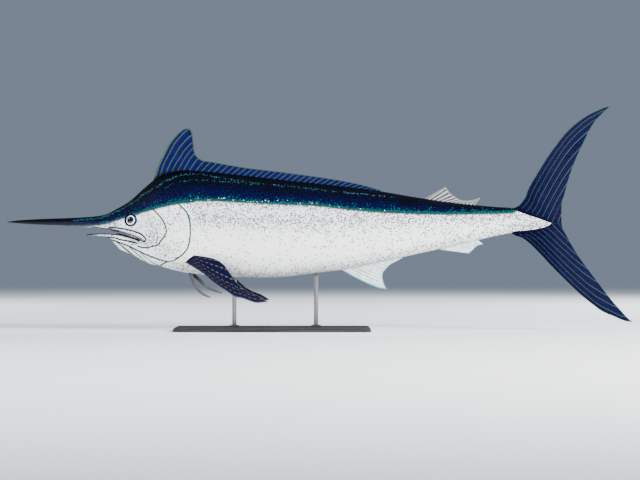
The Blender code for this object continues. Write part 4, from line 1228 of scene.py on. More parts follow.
@dataclass
class BodySkin:
    """One closed skin from the tip of the bill to the end of the tail's stem."""

    upper_rows: int = 86
    lower_rows: int = 36
    mouth_points: int = 9
    tip: float = 1.2
    jaw_tip: float = 423.5
    stem_end: float = 2994.0
    gape_start: float = 400.0
    ring_runs: Table = (  # where each run of rings ends, and its first and last spacing
        (60, 4, 16), (350, 18, 18), (jaw_tip, 14, 3), (534, 3, 6), (606, 5, 3), (637, 1.6, 1.6),
        (724, 2.4, 2.4), (FORM.mouth_corner, 3, 3), (1026, 3, 3), (1300, 4, 20), (2600, 23, 23),
        (2780, 18, 8), (2960, 8, 8), (stem_end, 7, 3),
    )
    points: list[Array] = field(default_factory=list)

    def stations(self) -> Array:
        """Places of the rings along the fish, closest together at the eye and nostrils.

        Returns:
            The places, from the tip of the bill to the end of the stem.
        """
        starts = (self.tip, *(run[0] for run in self.ring_runs))
        runs = [graded(start, *run) for start, run in zip(starts, self.ring_runs)]
        return np.concatenate([run[:-1] for run in runs] + [runs[-1][-1:]])

    @staticmethod
    def levels(rows: int, fine_start: bool) -> Array:
        """Shares down a run of rows, closer together at the midline of the back or belly.

        Args:
            rows: how many rows there are.
            fine_start: whether the rows are close together at the start.

        Returns:
            The shares, from 0 to 1.
        """
        t = np.linspace(0, 1, rows + 1)
        spread = 0.45 * t + 0.55 * (1 - np.cos(math.pi * t / 2))
        return spread if fine_start else 1 - spread[::-1]

    @staticmethod
    def plain(x: Array, level: Array, upper: bool) -> Array:
        """The plain body's surface on the right side, before any relief.

        Args:
            x: distances behind the bill tip.
            level: share of the way from back to seam, or from seam to belly.
            upper: whether the points are above the mouth and the flank's seam.

        Returns:
            Points as X, Y, Z.
        """
        if upper:
            z = FORM.back(x) + (FORM.lip(x) - FORM.back(x)) * level
            return np.stack((x, FORM.upper_width(x, z), z), -1)
        z = FORM.jaw(x) + (FORM.belly(x) - FORM.jaw(x)) * level
        return np.stack((x, FORM.lower_width(x, z), z), -1)

    def surface(self, x: Array, level: Array, upper: bool) -> tuple[Array, Array]:
        """The skin on the right side, with its relief, and the direction outward.

        Args:
            x: distances behind the bill tip.
            level: share of the way from back to seam, or from seam to belly.
            upper: whether the points are above the mouth and the flank's seam.

        Returns:
            Points, and unit vectors pointing outward.
        """
        x, level = np.broadcast_arrays(np.asarray(x, float), np.asarray(level, float))
        base = self.plain(x, level, upper)
        step = np.where(x < 60, 0.6, 2.0)
        ahead = self.plain(np.minimum(x + step, FORM.flesh_end), level, upper)
        along = ahead - self.plain(np.maximum(x - step, 0), level, upper)
        low, high = np.maximum(level - 0.004, 0), np.minimum(level + 0.004, 1)
        down = self.plain(x, high, upper) - self.plain(x, low, upper)
        outward = np.cross(along, down)
        middle = (level < 1e-6) if upper else (level > 1 - 1e-6)
        outward[..., 1] = np.where(middle, 0, outward[..., 1])
        upright = (1 if upper else -1) * np.abs(along[..., 0]) * 1e-2
        outward[..., 2] = np.where(middle, upright, outward[..., 2])
        slope = -along[..., 2] / along[..., 0]
        outward[..., 0] = np.where(middle, slope * outward[..., 2], outward[..., 0])
        outward = unit(outward)
        rise = HEAD.relief(base[..., 0], base[..., 2]) - SKIN_DEPTH
        width = np.maximum(base[..., 1], np.abs(base[..., 2] - FORM.lip(x)))
        rise = np.maximum(rise, -0.45 * np.maximum(width, 1.0))
        shifted = base + outward * rise[..., None]
        shifted[..., 1] = np.where(middle, 0, np.maximum(shifted[..., 1], 0.15))
        return shifted, outward

    def _number(self, grid: Array) -> Array:
        """Adds the points of a grid and gives their numbers.

        Args:
            grid: the points.

        Returns:
            Their numbers, in the shape of the grid.
        """
        start = sum(len(block) for block in self.points)
        self.points.append(grid.reshape(-1, 3))
        return np.arange(start, start + grid[..., 0].size).reshape(grid.shape[:-1])

    def _mouth_strip(self, edge: Array, arch: Array) -> Array:
        """Points across the roof or floor of the mouth, between its two edges.

        Args:
            edge: the mouth's edge on one side.
            arch: how far the middle lies above the edge.

        Returns:
            The points, one row for each point of the edge.
        """
        across = np.linspace(-1, 1, self.mouth_points + 2)[1:-1]
        strip = np.repeat(edge[:, None], self.mouth_points, axis=1)
        strip[..., 1] = edge[:, None, 1] * across
        strip[..., 2] += arch[:, None] * np.sqrt(1 - across**2)
        return strip

    def build(self, finish: Material) -> Thing:
        """Makes the skin.

        Args:
            finish: the painted hide with the lines of the head.

        Returns:
            The skin, which stands for every node of flesh.
        """
        self.points = []
        x = self.stations()
        corner = int(np.argmin(np.abs(x - FORM.mouth_corner)))
        jaw_start = int(np.argmin(np.abs(x - self.jaw_tip)))
        mirror = np.array((1, -1, 1))
        upper = self.surface(x[:, None], self.levels(self.upper_rows, True)[None], True)[0]
        lower_levels = self.levels(self.lower_rows, False)[None]
        lower = self.surface(x[jaw_start:, None], lower_levels, False)[0]
        right_up = self._number(upper)
        left_up = np.column_stack((right_up[:, 0], self._number(upper[:, 1:] * mirror)))
        front = corner - jaw_start
        right_low = np.zeros(lower.shape[:2], int)
        left_low = np.zeros(lower.shape[:2], int)
        right_low[:, 1:] = self._number(lower[:, 1:])
        left_low[:, -1] = right_low[:, -1]
        left_low[:, 1:-1] = self._number(lower[:, 1:-1] * mirror)
        right_low[:front, 0] = self._number(lower[:front, 0])
        left_low[:front, 0] = self._number(lower[:front, 0] * mirror)
        right_low[front:, 0] = right_up[corner:, -1]
        left_low[front:, 0] = left_up[corner:, -1]

        roof_edge = upper[: corner + 1, -1]
        roof_x = x[: corner + 1]
        shut = fall(roof_x, FORM.face_blend_end, FORM.mouth_corner)
        arch = np.minimum(0.35 * roof_edge[:, 1], 18) * shut * ease(roof_x, 430, 600)
        roof = self._number(self._mouth_strip(roof_edge, arch))
        floor_edge = lower[:front, 0]
        floor_x = x[jaw_start:corner]
        shut = fall(floor_x, FORM.face_blend_end, FORM.mouth_corner)
        sag = -np.minimum(0.3 * floor_edge[:, 1], 12) * shut
        floor = np.vstack((self._number(self._mouth_strip(floor_edge, sag)), roof[-1:]))

        grids = [right_up, left_up, right_low, left_low]
        grids.append(np.column_stack((left_up[: corner + 1, -1], roof, right_up[: corner + 1, -1])))
        grids.append(np.column_stack((left_low[: front + 1, 0], floor, right_low[: front + 1, 0])))
        faces = [face for grid in grids for face in grid_quads(grid)]
        loops = (
            [*right_up[0], *roof[0][::-1], *left_up[0][:0:-1]],
            [*right_low[0], *left_low[0][-2::-1], *floor[0]],
            [*right_up[-1], *right_low[-1, 1:], *left_low[-1, -2:0:-1], *left_up[-1][:0:-1]],
        )
        for loop in loops:
            ring = [int(number) for number in loop]
            middle = np.concatenate(self.points)[ring].mean(axis=0)
            faces += fan(ring, int(self._number(middle[None])[0]))

        points = np.concatenate(self.points)
        made = shaded_object("body_skin", placed(points), faces, 55.0)
        x, z = points[:, 0], points[:, 2]
        # the roof and floor of the mouth, which the finish paints near black as the shade inside it
        gape = np.zeros(len(points))
        gape[roof[x[roof[:, 0]] > self.gape_start]] = 1
        gape[floor] = 1
        marks = {**MARKINGS.values(x, z), **MARKINGS.lines(x, z), "gape": gape}
        for name, values in marks.items():
            store(made.data, name, values)
        finish_piece(
            made, finish, "trunk", "bill", "head", "lower_jaw", "throat", "gill_cover_left",
            "gill_cover_right", "trunk", "tail",
        )
        return made


@dataclass(frozen=True)
class FinFinish:
    """Skin stretched between the rays of a fin."""

    membrane: Colour
    ray: Colour
    rim: Colour
    root: Colour
    ray_width: float = 0.45
    root_reach: float = 0.12
    dashed: float = 0.0
    roughness: float = 0.46

    def build(self, name: str) -> Material:
        """Makes the finish for a piece that keeps the numbers ray, span, rim, walk and beat.

        Args:
            name: the name of the material.

        Returns:
            The material.
        """
        material, wiring, shader = new_finish(
            name, Coat_Weight=0.03, Coat_Roughness=0.3, Specular_IOR_Level=0.14
        )
        ray, span = wiring.attribute("ray"), wiring.attribute("span")
        walk, rim = wiring.attribute("walk"), wiring.attribute("rim")
        cloud = wiring.noise(26.0, detail=4.0)
        deep = tuple(0.55 * part for part in self.membrane)
        base = wiring.paint(self.membrane, deep, cloud, 0.30, 0.75)
        stripe = wiring.step(ray, 1 - self.ray_width, 1 - 0.55 * self.ray_width)
        if self.dashed:
            paced = wiring.scaled(walk, 1 / self.dashed, wiring.attribute("beat"))
            beat = wiring.math("FRACT", paced)
            stripe = wiring.times(stripe, wiring.step(beat, 0.62, 0.50))
        base = wiring.mix(wiring.times(stripe, 0.85), base, self.ray)
        base = wiring.paint(base, self.rim, rim, 0.45, 0.75)
        rooted = wiring.scaled(wiring.centred(cloud), 0.08, span)
        base = wiring.paint(base, self.root, rooted, self.root_reach, 0.02)
        rough = wiring.scaled(wiring.noise(60.0), 0.16, self.roughness - 0.08)
        joints = wiring.math("PINGPONG", walk, 0.0035)
        height = wiring.scaled(wiring.times(joints, stripe), 220.0, wiring.noise(240.0))
        normal = wiring.bump(height, 0.22, 0.0006)
        wiring.plug(shader, Base_Color=base, Roughness=rough, Normal=normal)
        return material


@dataclass
class RayFin:
    """A fin of rays and membrane that stands in the fish's middle plane."""

    name: str
    slot: str
    key_rays: Table
    lead: Table
    rays: int
    half: tuple[float, float, float]
    fade: float = 0.3
    notch: float = 0.02
    rows: int = 26
    steps: int = 6
    wave: float = 1.5
    shown: int = 1  # every how manyth ray has its own colour

    def columns(self) -> Array:
        """Places of the columns in ray steps, with a ray at every whole number."""
        return np.linspace(0, self.rays, self.rays * self.steps + 1)

    def edge_root(self, upper: bool) -> tuple[Array, Array]:
        """Root points just inside the back or belly, and the places that the key rays use.

        Args:
            upper: whether the fin stands on the back.

        Returns:
            The root points, and the place of each for the key rays.
        """
        ends = (self.key_rays[0][0], self.key_rays[-1][0])
        x = np.interp(self.columns() / self.rays, (0, 1), ends)
        z = FORM.back(x) - 7 if upper else FORM.belly(x) + 7
        return np.stack((x, z), -1), x

    def lobe_root(self, upper: bool, start: float) -> tuple[Array, Array]:
        """Root points along the tail's stem and then on the line between the two lobes.

        Args:
            upper: whether this is the upper lobe.
            start: where the lobe begins on the stem.

        Returns:
            The root points, and the share of the root walked at each.
        """
        x = np.linspace(start, 2988, 60)
        split = -5.7 if upper else -6.3
        edge = FORM.back(x) if upper else FORM.belly(x)
        z = edge - np.sign(edge - split) * np.minimum(6, 0.6 * np.abs(edge - split))
        line = np.vstack((np.stack((x, z), -1), ((2998, split), (3051, split))))
        walked = walked_along(line)
        share = self.columns() / self.rays
        at = share * walked[-1]
        return np.stack([np.interp(at, walked, column) for column in line.T], -1), share

    def grid(self, root: Array, places: Array) -> Array:
        """Side-view points along every ray, bowed like the leading edge near it.

        Args:
            root: the root point of each column.
            places: where each column stands among the key rays.

        Returns:
            Points by column and row.
        """
        tips = np.stack(
            [smooth_line([(ray[0], ray[i]) for ray in self.key_rays])(places) for i in (1, 2)], -1
        )
        between = 2 * np.abs(self.columns() - np.round(self.columns()))
        tips -= (tips - root) * (self.notch * between**2)[:, None]
        axis = tips[0] - root[0]
        length = float(np.linalg.norm(axis))
        ahead = axis / length
        side = np.array((-ahead[1], ahead[0]))
        bows = [(0.0, 0.0)]
        for place in np.array(self.lead, float).reshape(-1, 2) - root[0]:
            bows.append((float(place @ ahead) / length, float(place @ side)))
        bow = smooth_line([*bows, (1.0, 0.0)])(np.linspace(0, 1, self.rows))
        kept = np.clip(1 - np.linspace(0, 1, len(root)) / self.fade, 0, 1) ** 1.5
        run = tips - root
        across = np.stack((-run[:, 1], run[:, 0]), -1) / length
        spans = np.linspace(0, 1, self.rows)
        points = root[:, None] + run[:, None] * spans[None, :, None]
        return points + across[:, None] * (kept[:, None] * bow)[:, :, None]

    def ridge(self) -> Array:
        """How near each column is to the middle of a ray, 1 on it and 0 halfway to the next."""
        return 1 - 2 * np.abs(self.columns() - np.round(self.columns()))

    def build(self, root: Array, places: Array, finish: Material) -> Thing:
        """Makes the fin.

        Args:
            root: the root point of each column.
            places: where each column stands among the key rays.
            finish: the fin's finish.

        Returns:
            The fin, which stands for the node of its name.
        """
        grid = self.grid(root, places)
        spans = np.linspace(0, 1, self.rows)
        ridge = self.ridge()
        root_half, ray_half, membrane_half = self.half
        ray = root_half + (ray_half - root_half) * spans**0.8
        thin = np.minimum(ray, membrane_half * (2.2 - 1.4 * spans))
        raised = np.sqrt(np.clip((ridge - 0.45) / 0.55, 0, 1))
        half = thin[None] + (ray - thin)[None] * raised[:, None]
        half[:, -1] *= 0.5
        sway = self.wave * np.sin(np.linspace(0, 9, len(ridge)))[:, None] * spans[None] ** 1.5
        x, z = grid[..., 0], grid[..., 1]
        sheets = [np.stack((x, sway + side * half, z), -1) for side in (-1, 1)]
        return self.shell(sheets, finish)

    def shell(self, sheets: list[Array], finish: Material) -> Thing:
        """Closes two faces of a fin into one piece and stores what its finish reads.

        Args:
            sheets: the points of the two faces, by column and row.
            finish: the fin's finish.

        Returns:
            The piece.
        """
        count = sheets[0][..., 0].size
        numbers = np.arange(count).reshape(sheets[0].shape[:2])
        points = np.concatenate([sheet.reshape(-1, 3) for sheet in sheets])
        faces = wrapped_faces(numbers, numbers + count)
        made = shaded_object(self.name + "_rayed", placed(points), faces)
        columns, rows = numbers.shape
        spans = np.linspace(0, 1, rows)[None]
        walk = np.linalg.norm(sheets[0] - sheets[0][:, :1], axis=-1) * MM
        lead = np.linspace(0, self.rays, columns)[:, None] + np.zeros(rows)[None]
        rim = np.maximum(1 - lead, 1 - (walk[:, -1:] - walk) / 0.012)
        number = np.floor(self.columns() + 0.5)
        coloured = np.where(number % self.shown == 0, self.ridge(), 0)
        kept = {
            "ray": coloured[:, None], "span": spans, "walk": walk, "rim": np.clip(rim, 0, 1),
            "beat": (0.37 * number)[:, None],
        }
        for name, values in kept.items():
            store(made.data, name, np.tile(np.broadcast_to(values, numbers.shape).ravel(), 2))
        finish_piece(made, finish, self.slot, self.name)
        return made


@dataclass
class PectoralFin(RayFin):
    """A stiff sickle-shaped fin that slants back, down and outward from the flank."""

    root_line: Table = ((992, -222), (1036, -182))
    spread: float = 0.36
    sink: float = 20.0
    thickness: float = 8.5

    def build_side(self, side: Side, finish: Material) -> Thing:
        """Makes the fin of one side.

        Args:
            side: the side of the fish.
            finish: the fin's finish.

        Returns:
            The fin, which stands for the node of its name.
        """
        chord = self.columns() / self.rays
        start, end = np.array(self.root_line, float)
        root = start + (end - start) * chord[:, None]
        grid = self.grid(root, chord)
        spans = np.linspace(0, 1, self.rows)
        length = np.linalg.norm(grid[:, -1] - root, axis=1)
        y = FORM.body_width(root[:, 0], root[:, 1])[:, None] + self.spread * length[:, None] * spans
        outer = np.concatenate((grid, y[..., None]), -1)[..., (0, 2, 1)]
        sunk = outer[:, :1] - np.array((4.0, self.sink, 0))
        points = np.concatenate((sunk, outer), 1) * np.array((1, side.value, 1))
        normal = unit(np.cross(np.gradient(points, axis=0), np.gradient(points, axis=1)))
        swell = np.sin(np.pi * np.clip(0.10 + 0.9 * chord, 0, 1)) ** 0.6
        profile = 0.12 + 0.88 * swell * (1 - 0.75 * chord)
        taper = np.concatenate(((1.0,), 1 - 0.80 * spans))
        half = self.thickness * taper[None] * profile[:, None]
        raised = np.sqrt(np.clip((self.ridge() - 0.4) / 0.6, 0, 1))
        clear = np.concatenate(((0.0,), ease(spans, 0, 0.25)))
        half *= 1 - 0.22 * (1 - raised)[:, None] * clear[None]
        shift = normal * half[..., None]
        return self.shell([points - shift, points + shift], finish)


@dataclass
class PelvicFin(RayFin):
    """A narrow strap of three fused rays that trails below the belly."""

    path: Table = ()
    widths: Table = ((0, 21), (0.55, 16), (1, 7))
    offset: float = 15.0

    def build_side(self, side: Side, finish: Material) -> Thing:
        """Makes the fin of one side.

        Args:
            side: the side of the fish.
            finish: the fin's finish.

        Returns:
            The fin, which stands for the node of its name.
        """
        path = np.array(self.path, float)
        path = np.vstack((path[:1] + 0.35 * (path[:1] - path[1:2]), path[1:]))
        walked = walked_along(path)
        along = np.linspace(0, 1, self.rows)
        share = walked / walked[-1]
        middle = np.stack([smooth_line(list(zip(share, row)))(along) for row in path.T], -1)
        run = unit(np.gradient(middle, axis=0))
        width = curve_at(self.widths, along) * np.sqrt(1 - ease(along, 0.93, 1.0) * 0.96)
        strips = self.columns() / self.rays - 0.5
        across = np.stack((-run[:, 1], run[:, 0]), -1) * width[:, None]
        grid = middle[None] + across[None] * strips[:, None, None]
        raised = 0.55 + 0.45 * np.sqrt(np.clip(self.ridge(), 0, 1))
        half = np.outer(raised, np.interp(along, (0, 1), (self.half[0], self.half[1])))
        y = side.value * (self.offset + 12.0 * along)[None] + np.zeros(len(strips))[:, None]
        sheets = [np.stack((grid[..., 0], y + way * half, grid[..., 1]), -1) for way in (-1, 1)]
        return self.shell(sheets, finish)


@dataclass(frozen=True)
class FinSet:
    """Every fin of the fish, with its key rays, its ray count and its finish."""

    first_dorsal: Table = (
        (804, 982, 515), (825, 995, 516), (842, 1011, 510), (869, 1022, 480), (897, 1026, 447),
        (930, 1029, 415), (963, 1033, 384), (996, 1051, 356), (1028, 1082, 338),
        (1062, 1118, 333), (1150, 1206, 317), (1262, 1318, 299), (1475, 1531, 273),
        (1720, 1776, 239), (1880, 1935, 209), (1975, 2020, 186), (2048, 2062, 173),
    )
    first_dorsal_lead: Table = ((831.6, 316), (858, 369.6), (885, 423), (924.5, 473), (964.7, 508))
    second_dorsal: Table = (
        (2290, 2409, 191.5), (2315, 2416, 187), (2350, 2436, 160), (2390, 2470, 134),
        (2440, 2510, 118), (2490, 2548, 119), (2567, 2605, 134),
    )
    first_anal: Table = (
        (1832, 2094, -371), (1858, 2082, -354), (1890, 2071, -328), (1925, 2066, -302),
        (1960, 2069, -281), (2000, 2084, -260), (2040, 2107, -236), (2085, 2134, -221),
        (2130, 2162, -206), (2168, 2180, -197),
    )
    first_anal_lead: Table = ((1911, -303), (1986.6, -340), (2037, -360))
    second_anal: Table = (
        (2350, 2542, -174), (2385, 2550, -166), (2425, 2564, -153), (2470, 2580, -137),
        (2520, 2597, -127), (2585, 2621, -123),
    )
    upper_tail: Table = (
        (0, 3327.5, 640), (0.08, 3312, 627), (0.18, 3270, 590), (0.30, 3222, 533),
        (0.42, 3176, 445), (0.54, 3131, 349), (0.66, 3092, 244), (0.78, 3066, 150),
        (0.86, 3052, 102), (0.93, 3051, 45), (1, 3051, -5.7),
    )
    upper_tail_lead: Table = (
        (2818, 93.5), (2846, 130), (2865.5, 181.5), (2909.5, 258.5), (2997.5, 396),
        (3085.5, 506), (3173.5, 577.5), (3261.5, 621.5), (3305.5, 638),
    )
    lower_tail: Table = (
        (0, 3446, -552), (0.08, 3425, -537), (0.2, 3375, -485), (0.33, 3316, -417),
        (0.46, 3253, -334), (0.58, 3196, -259), (0.69, 3147, -192), (0.79, 3107, -127),
        (0.88, 3078, -74), (0.95, 3058, -38), (1, 3051, -6.3),
    )
    lower_tail_lead: Table = (
        (2795, -76), (2832, -87), (2865.5, -112), (2909.5, -154), (2997.5, -247.5),
        (3085.5, -335.5), (3173.5, -416), (3261.5, -484), (3349.5, -524), (3393.5, -543),
    )
    pectoral: Table = (
        (0, 1442, -434), (0.25, 1397, -406), (0.4, 1326, -376), (0.55, 1267, -326),
        (0.68, 1231, -274), (0.8, 1197, -231), (0.9, 1150, -203), (1, 1095, -190),
    )
    pectoral_lead: Table = (
        (1086, -280), (1150, -334), (1221, -381), (1263, -408), (1305, -416), (1368, -438),
    )
    left_pelvic: Table = (
        (1007, -262), (1011, -284), (1022, -317), (1043, -360), (1080, -397), (1124, -416),
    )
    right_pelvic: Table = (
        (1020, -262), (1027, -288), (1061, -322), (1107, -364), (1150, -381), (1185, -393),
    )

    thin: tuple[float, float, float] = (4.0, 1.5, 0.75)
    thick: tuple[float, float, float] = (6.0, 1.8, 0.9)
    strap: tuple[float, float, float] = (4.5, 1.4, 1.0)
    cobalt: FinFinish = FinFinish(
        (0.0008, 0.0016, 0.042), (0.022, 0.042, 0.022), (0.024, 0.046, 0.024),
        (0.0006, 0.0008, 0.003), ray_width=0.27,
    )
    navy: FinFinish = FinFinish(
        (0.0006, 0.0010, 0.019), (0.022, 0.042, 0.034), (0.022, 0.042, 0.034),
        (0.0006, 0.0010, 0.012), root_reach=0.05,
    )
    dark: FinFinish = FinFinish(
        (0.0006, 0.0009, 0.017), (0.075, 0.070, 0.052), (0.045, 0.045, 0.060),
        (0.0006, 0.0009, 0.012), ray_width=0.42, dashed=0.030,
    )
    ash: FinFinish = FinFinish(
        (0.060, 0.060, 0.066), (0.30, 0.30, 0.31), (0.16, 0.15, 0.15), (0.05, 0.05, 0.05), 0.5,
    )
    white: FinFinish = FinFinish(
        (0.66, 0.67, 0.68), (0.05, 0.20, 0.20), (0.05, 0.22, 0.22), (0.70, 0.71, 0.72), 0.30,
    )
    slate: FinFinish = FinFinish(
        (0.085, 0.082, 0.092), (0.018, 0.018, 0.022), (0.030, 0.030, 0.032),
        (0.08, 0.08, 0.09), 0.4,
    )

    def build(self) -> None:
        """Makes all the fins."""
        cobalt, ash = self.cobalt.build("dorsal_membrane"), self.ash.build("ash_membrane")
        white, navy = self.white.build("white_membrane"), self.navy.build("tail_membrane")
        first = (self.first_dorsal, self.first_dorsal_lead)
        anal = (self.first_anal, self.first_anal_lead)
        standing = (
            ("dorsal_fin_first", "dorsal_fin", *first, 38, 0.006, True, cobalt),
            ("dorsal_fin_second", "small_fin", self.second_dorsal, (), 12, 0.02, True, ash),
            ("anal_fin_first", "anal_fin", *anal, 14, 0.02, False, white),
            ("anal_fin_second", "anal_fin", self.second_anal, (), 8, 0.02, False, white),
        )
        for name, slot, key_rays, lead, rays, notch, upper, finish in standing:
            fin = RayFin(name, slot, key_rays, lead, rays, self.thin, notch=notch)
            fin.build(*fin.edge_root(upper), finish)
        lobes = (
            ("caudal_fin_upper", self.upper_tail, self.upper_tail_lead, True, 2780.0),
            ("caudal_fin_lower", self.lower_tail, self.lower_tail_lead, False, 2765.0),
        )
        for name, key_rays, lead, upper, start in lobes:
            lobe = RayFin(
                name, "dark_fin", key_rays, lead, 26, self.thick, 1.0, 0.006, 44, 5, shown=3
            )
            lobe.build(*lobe.lobe_root(upper, start), navy)
        dark, slate = self.dark.build("pectoral_skin"), self.slate.build("pelvic_skin")
        paths = {Side.LEFT: self.left_pelvic, Side.RIGHT: self.right_pelvic}
        for side in Side:
            word = side.name.lower()
            pectoral = PectoralFin(
                f"pectoral_fin_{word}", "dark_fin", self.pectoral, self.pectoral_lead, 14,
                self.thick, 0.8, 0.01, 40, shown=2,
            )
            pectoral.build_side(side, dark)
            pelvic = PelvicFin(
                f"pelvic_fin_{word}", "small_fin", (), (), 3, self.strap, rows=48, steps=6,
                path=paths[side],
            )
            pelvic.build_side(side, slate)


@dataclass(frozen=True)
class EyeFinish:
    """A dark pupil, a white ring and a blue iris with a painted cyan glint low down, under a clear,
    wet surface.
    """

    pupil: Colour = (0.001, 0.001, 0.0015)
    ring: Colour = (0.80, 0.84, 0.88)
    blue: Colour = (0.055, 0.24, 0.86)
    violet: Colour = (0.10, 0.11, 0.55)
    cyan_glint: Colour = (0.06, 0.75, 0.80)
    rim: Colour = (0.002, 0.002, 0.003)

    def build(self) -> Material:
        """Makes the finish for a ball that keeps the numbers disc and rise.

        Returns:
            The material.
        """
        material, wiring, shader = new_finish(
            "eye", Roughness=0.12, Coat_Weight=1.0, Coat_Roughness=0.02, Specular_IOR_Level=0.6
        )
        disc, rise = wiring.attribute("disc"), wiring.attribute("rise")
        fibre = wiring.noise(700.0, 200.0, 700.0)
        warped = wiring.scaled(wiring.centred(fibre), 0.07, disc)
        # a painted cyan glint on the lower part of the iris, blue above it
        outer = wiring.paint(self.cyan_glint, self.blue, rise, 0.0, 0.65)
        outer = wiring.paint(outer, self.violet, warped, 0.72, 0.80)
        colour = wiring.paint(self.ring, outer, warped, 0.66, 0.73)
        colour = wiring.paint(colour, self.pupil, disc, 0.60, 0.58)
        colour = wiring.paint(colour, self.rim, disc, 0.79, 0.82)
        wiring.plug(shader, Base_Color=colour, Normal=wiring.bump(fibre, 0.05, 0.0004))
        return material


@dataclass
class Eye:
    """One eyeball, as deep in the head as the real one."""

    side: Side
    segments: int = 64
    rings: int = 40

    def build(self, finish: Material) -> Thing:
        """Makes the eyeball, which stands for the eye's node.

        Args:
            finish: the finish of the eye.

        Returns:
            The eyeball.
        """
        x, z = (np.array(value) for value in HEAD.eye)
        y = float(FORM.upper_width(x, z))
        slope_x = float(FORM.upper_width(x + 2, z) - FORM.upper_width(x - 2, z)) / 4
        slope_z = float(FORM.upper_width(x, z + 2) - FORM.upper_width(x, z - 2)) / 4
        outward = Vector((-slope_x, self.side.value, -slope_z)).normalized()
        surface = Vector(placed(np.array((HEAD.eye[0], self.side.value * y, HEAD.eye[1]))))
        centre = surface - outward * (HEAD.eye_sunk + 0.6) * MM
        mesh = bmesh.new()
        bmesh.ops.create_uvsphere(mesh, u_segments=self.segments, v_segments=self.rings, radius=1.0)
        size = Matrix.Diagonal((HEAD.eye_radius * MM, HEAD.eye_radius * MM, HEAD.eye_bulge * MM, 1))
        turn = Vector((0, 0, 1)).rotation_difference(outward).to_matrix().to_4x4()
        plane = [math.hypot(vert.co.x, vert.co.y) for vert in mesh.verts]
        bmesh.ops.transform(mesh, matrix=Matrix.Translation(centre) @ turn @ size, verts=mesh.verts)
        rise = [0.5 + (vert.co.z - centre.z) / (2 * HEAD.eye_radius * MM) for vert in mesh.verts]
        bmesh.ops.recalc_face_normals(mesh, faces=mesh.faces)
        word = self.side.name.lower()
        data = bpy.data.meshes.new(f"eyeball_{word}")
        mesh.to_mesh(data)
        mesh.free()
        data.shade_smooth()
        made = linked(f"eyeball_{word}", data)
        store(data, "disc", plane)
        store(data, "rise", rise)
        finish_piece(made, finish, "eye", f"eye_{word}")
        return made


class Zone(Enum):
    """Parts of the body whose scales differ in size."""

    FACE = "face"
    GILL = "gill"
    TRUNK = "trunk"


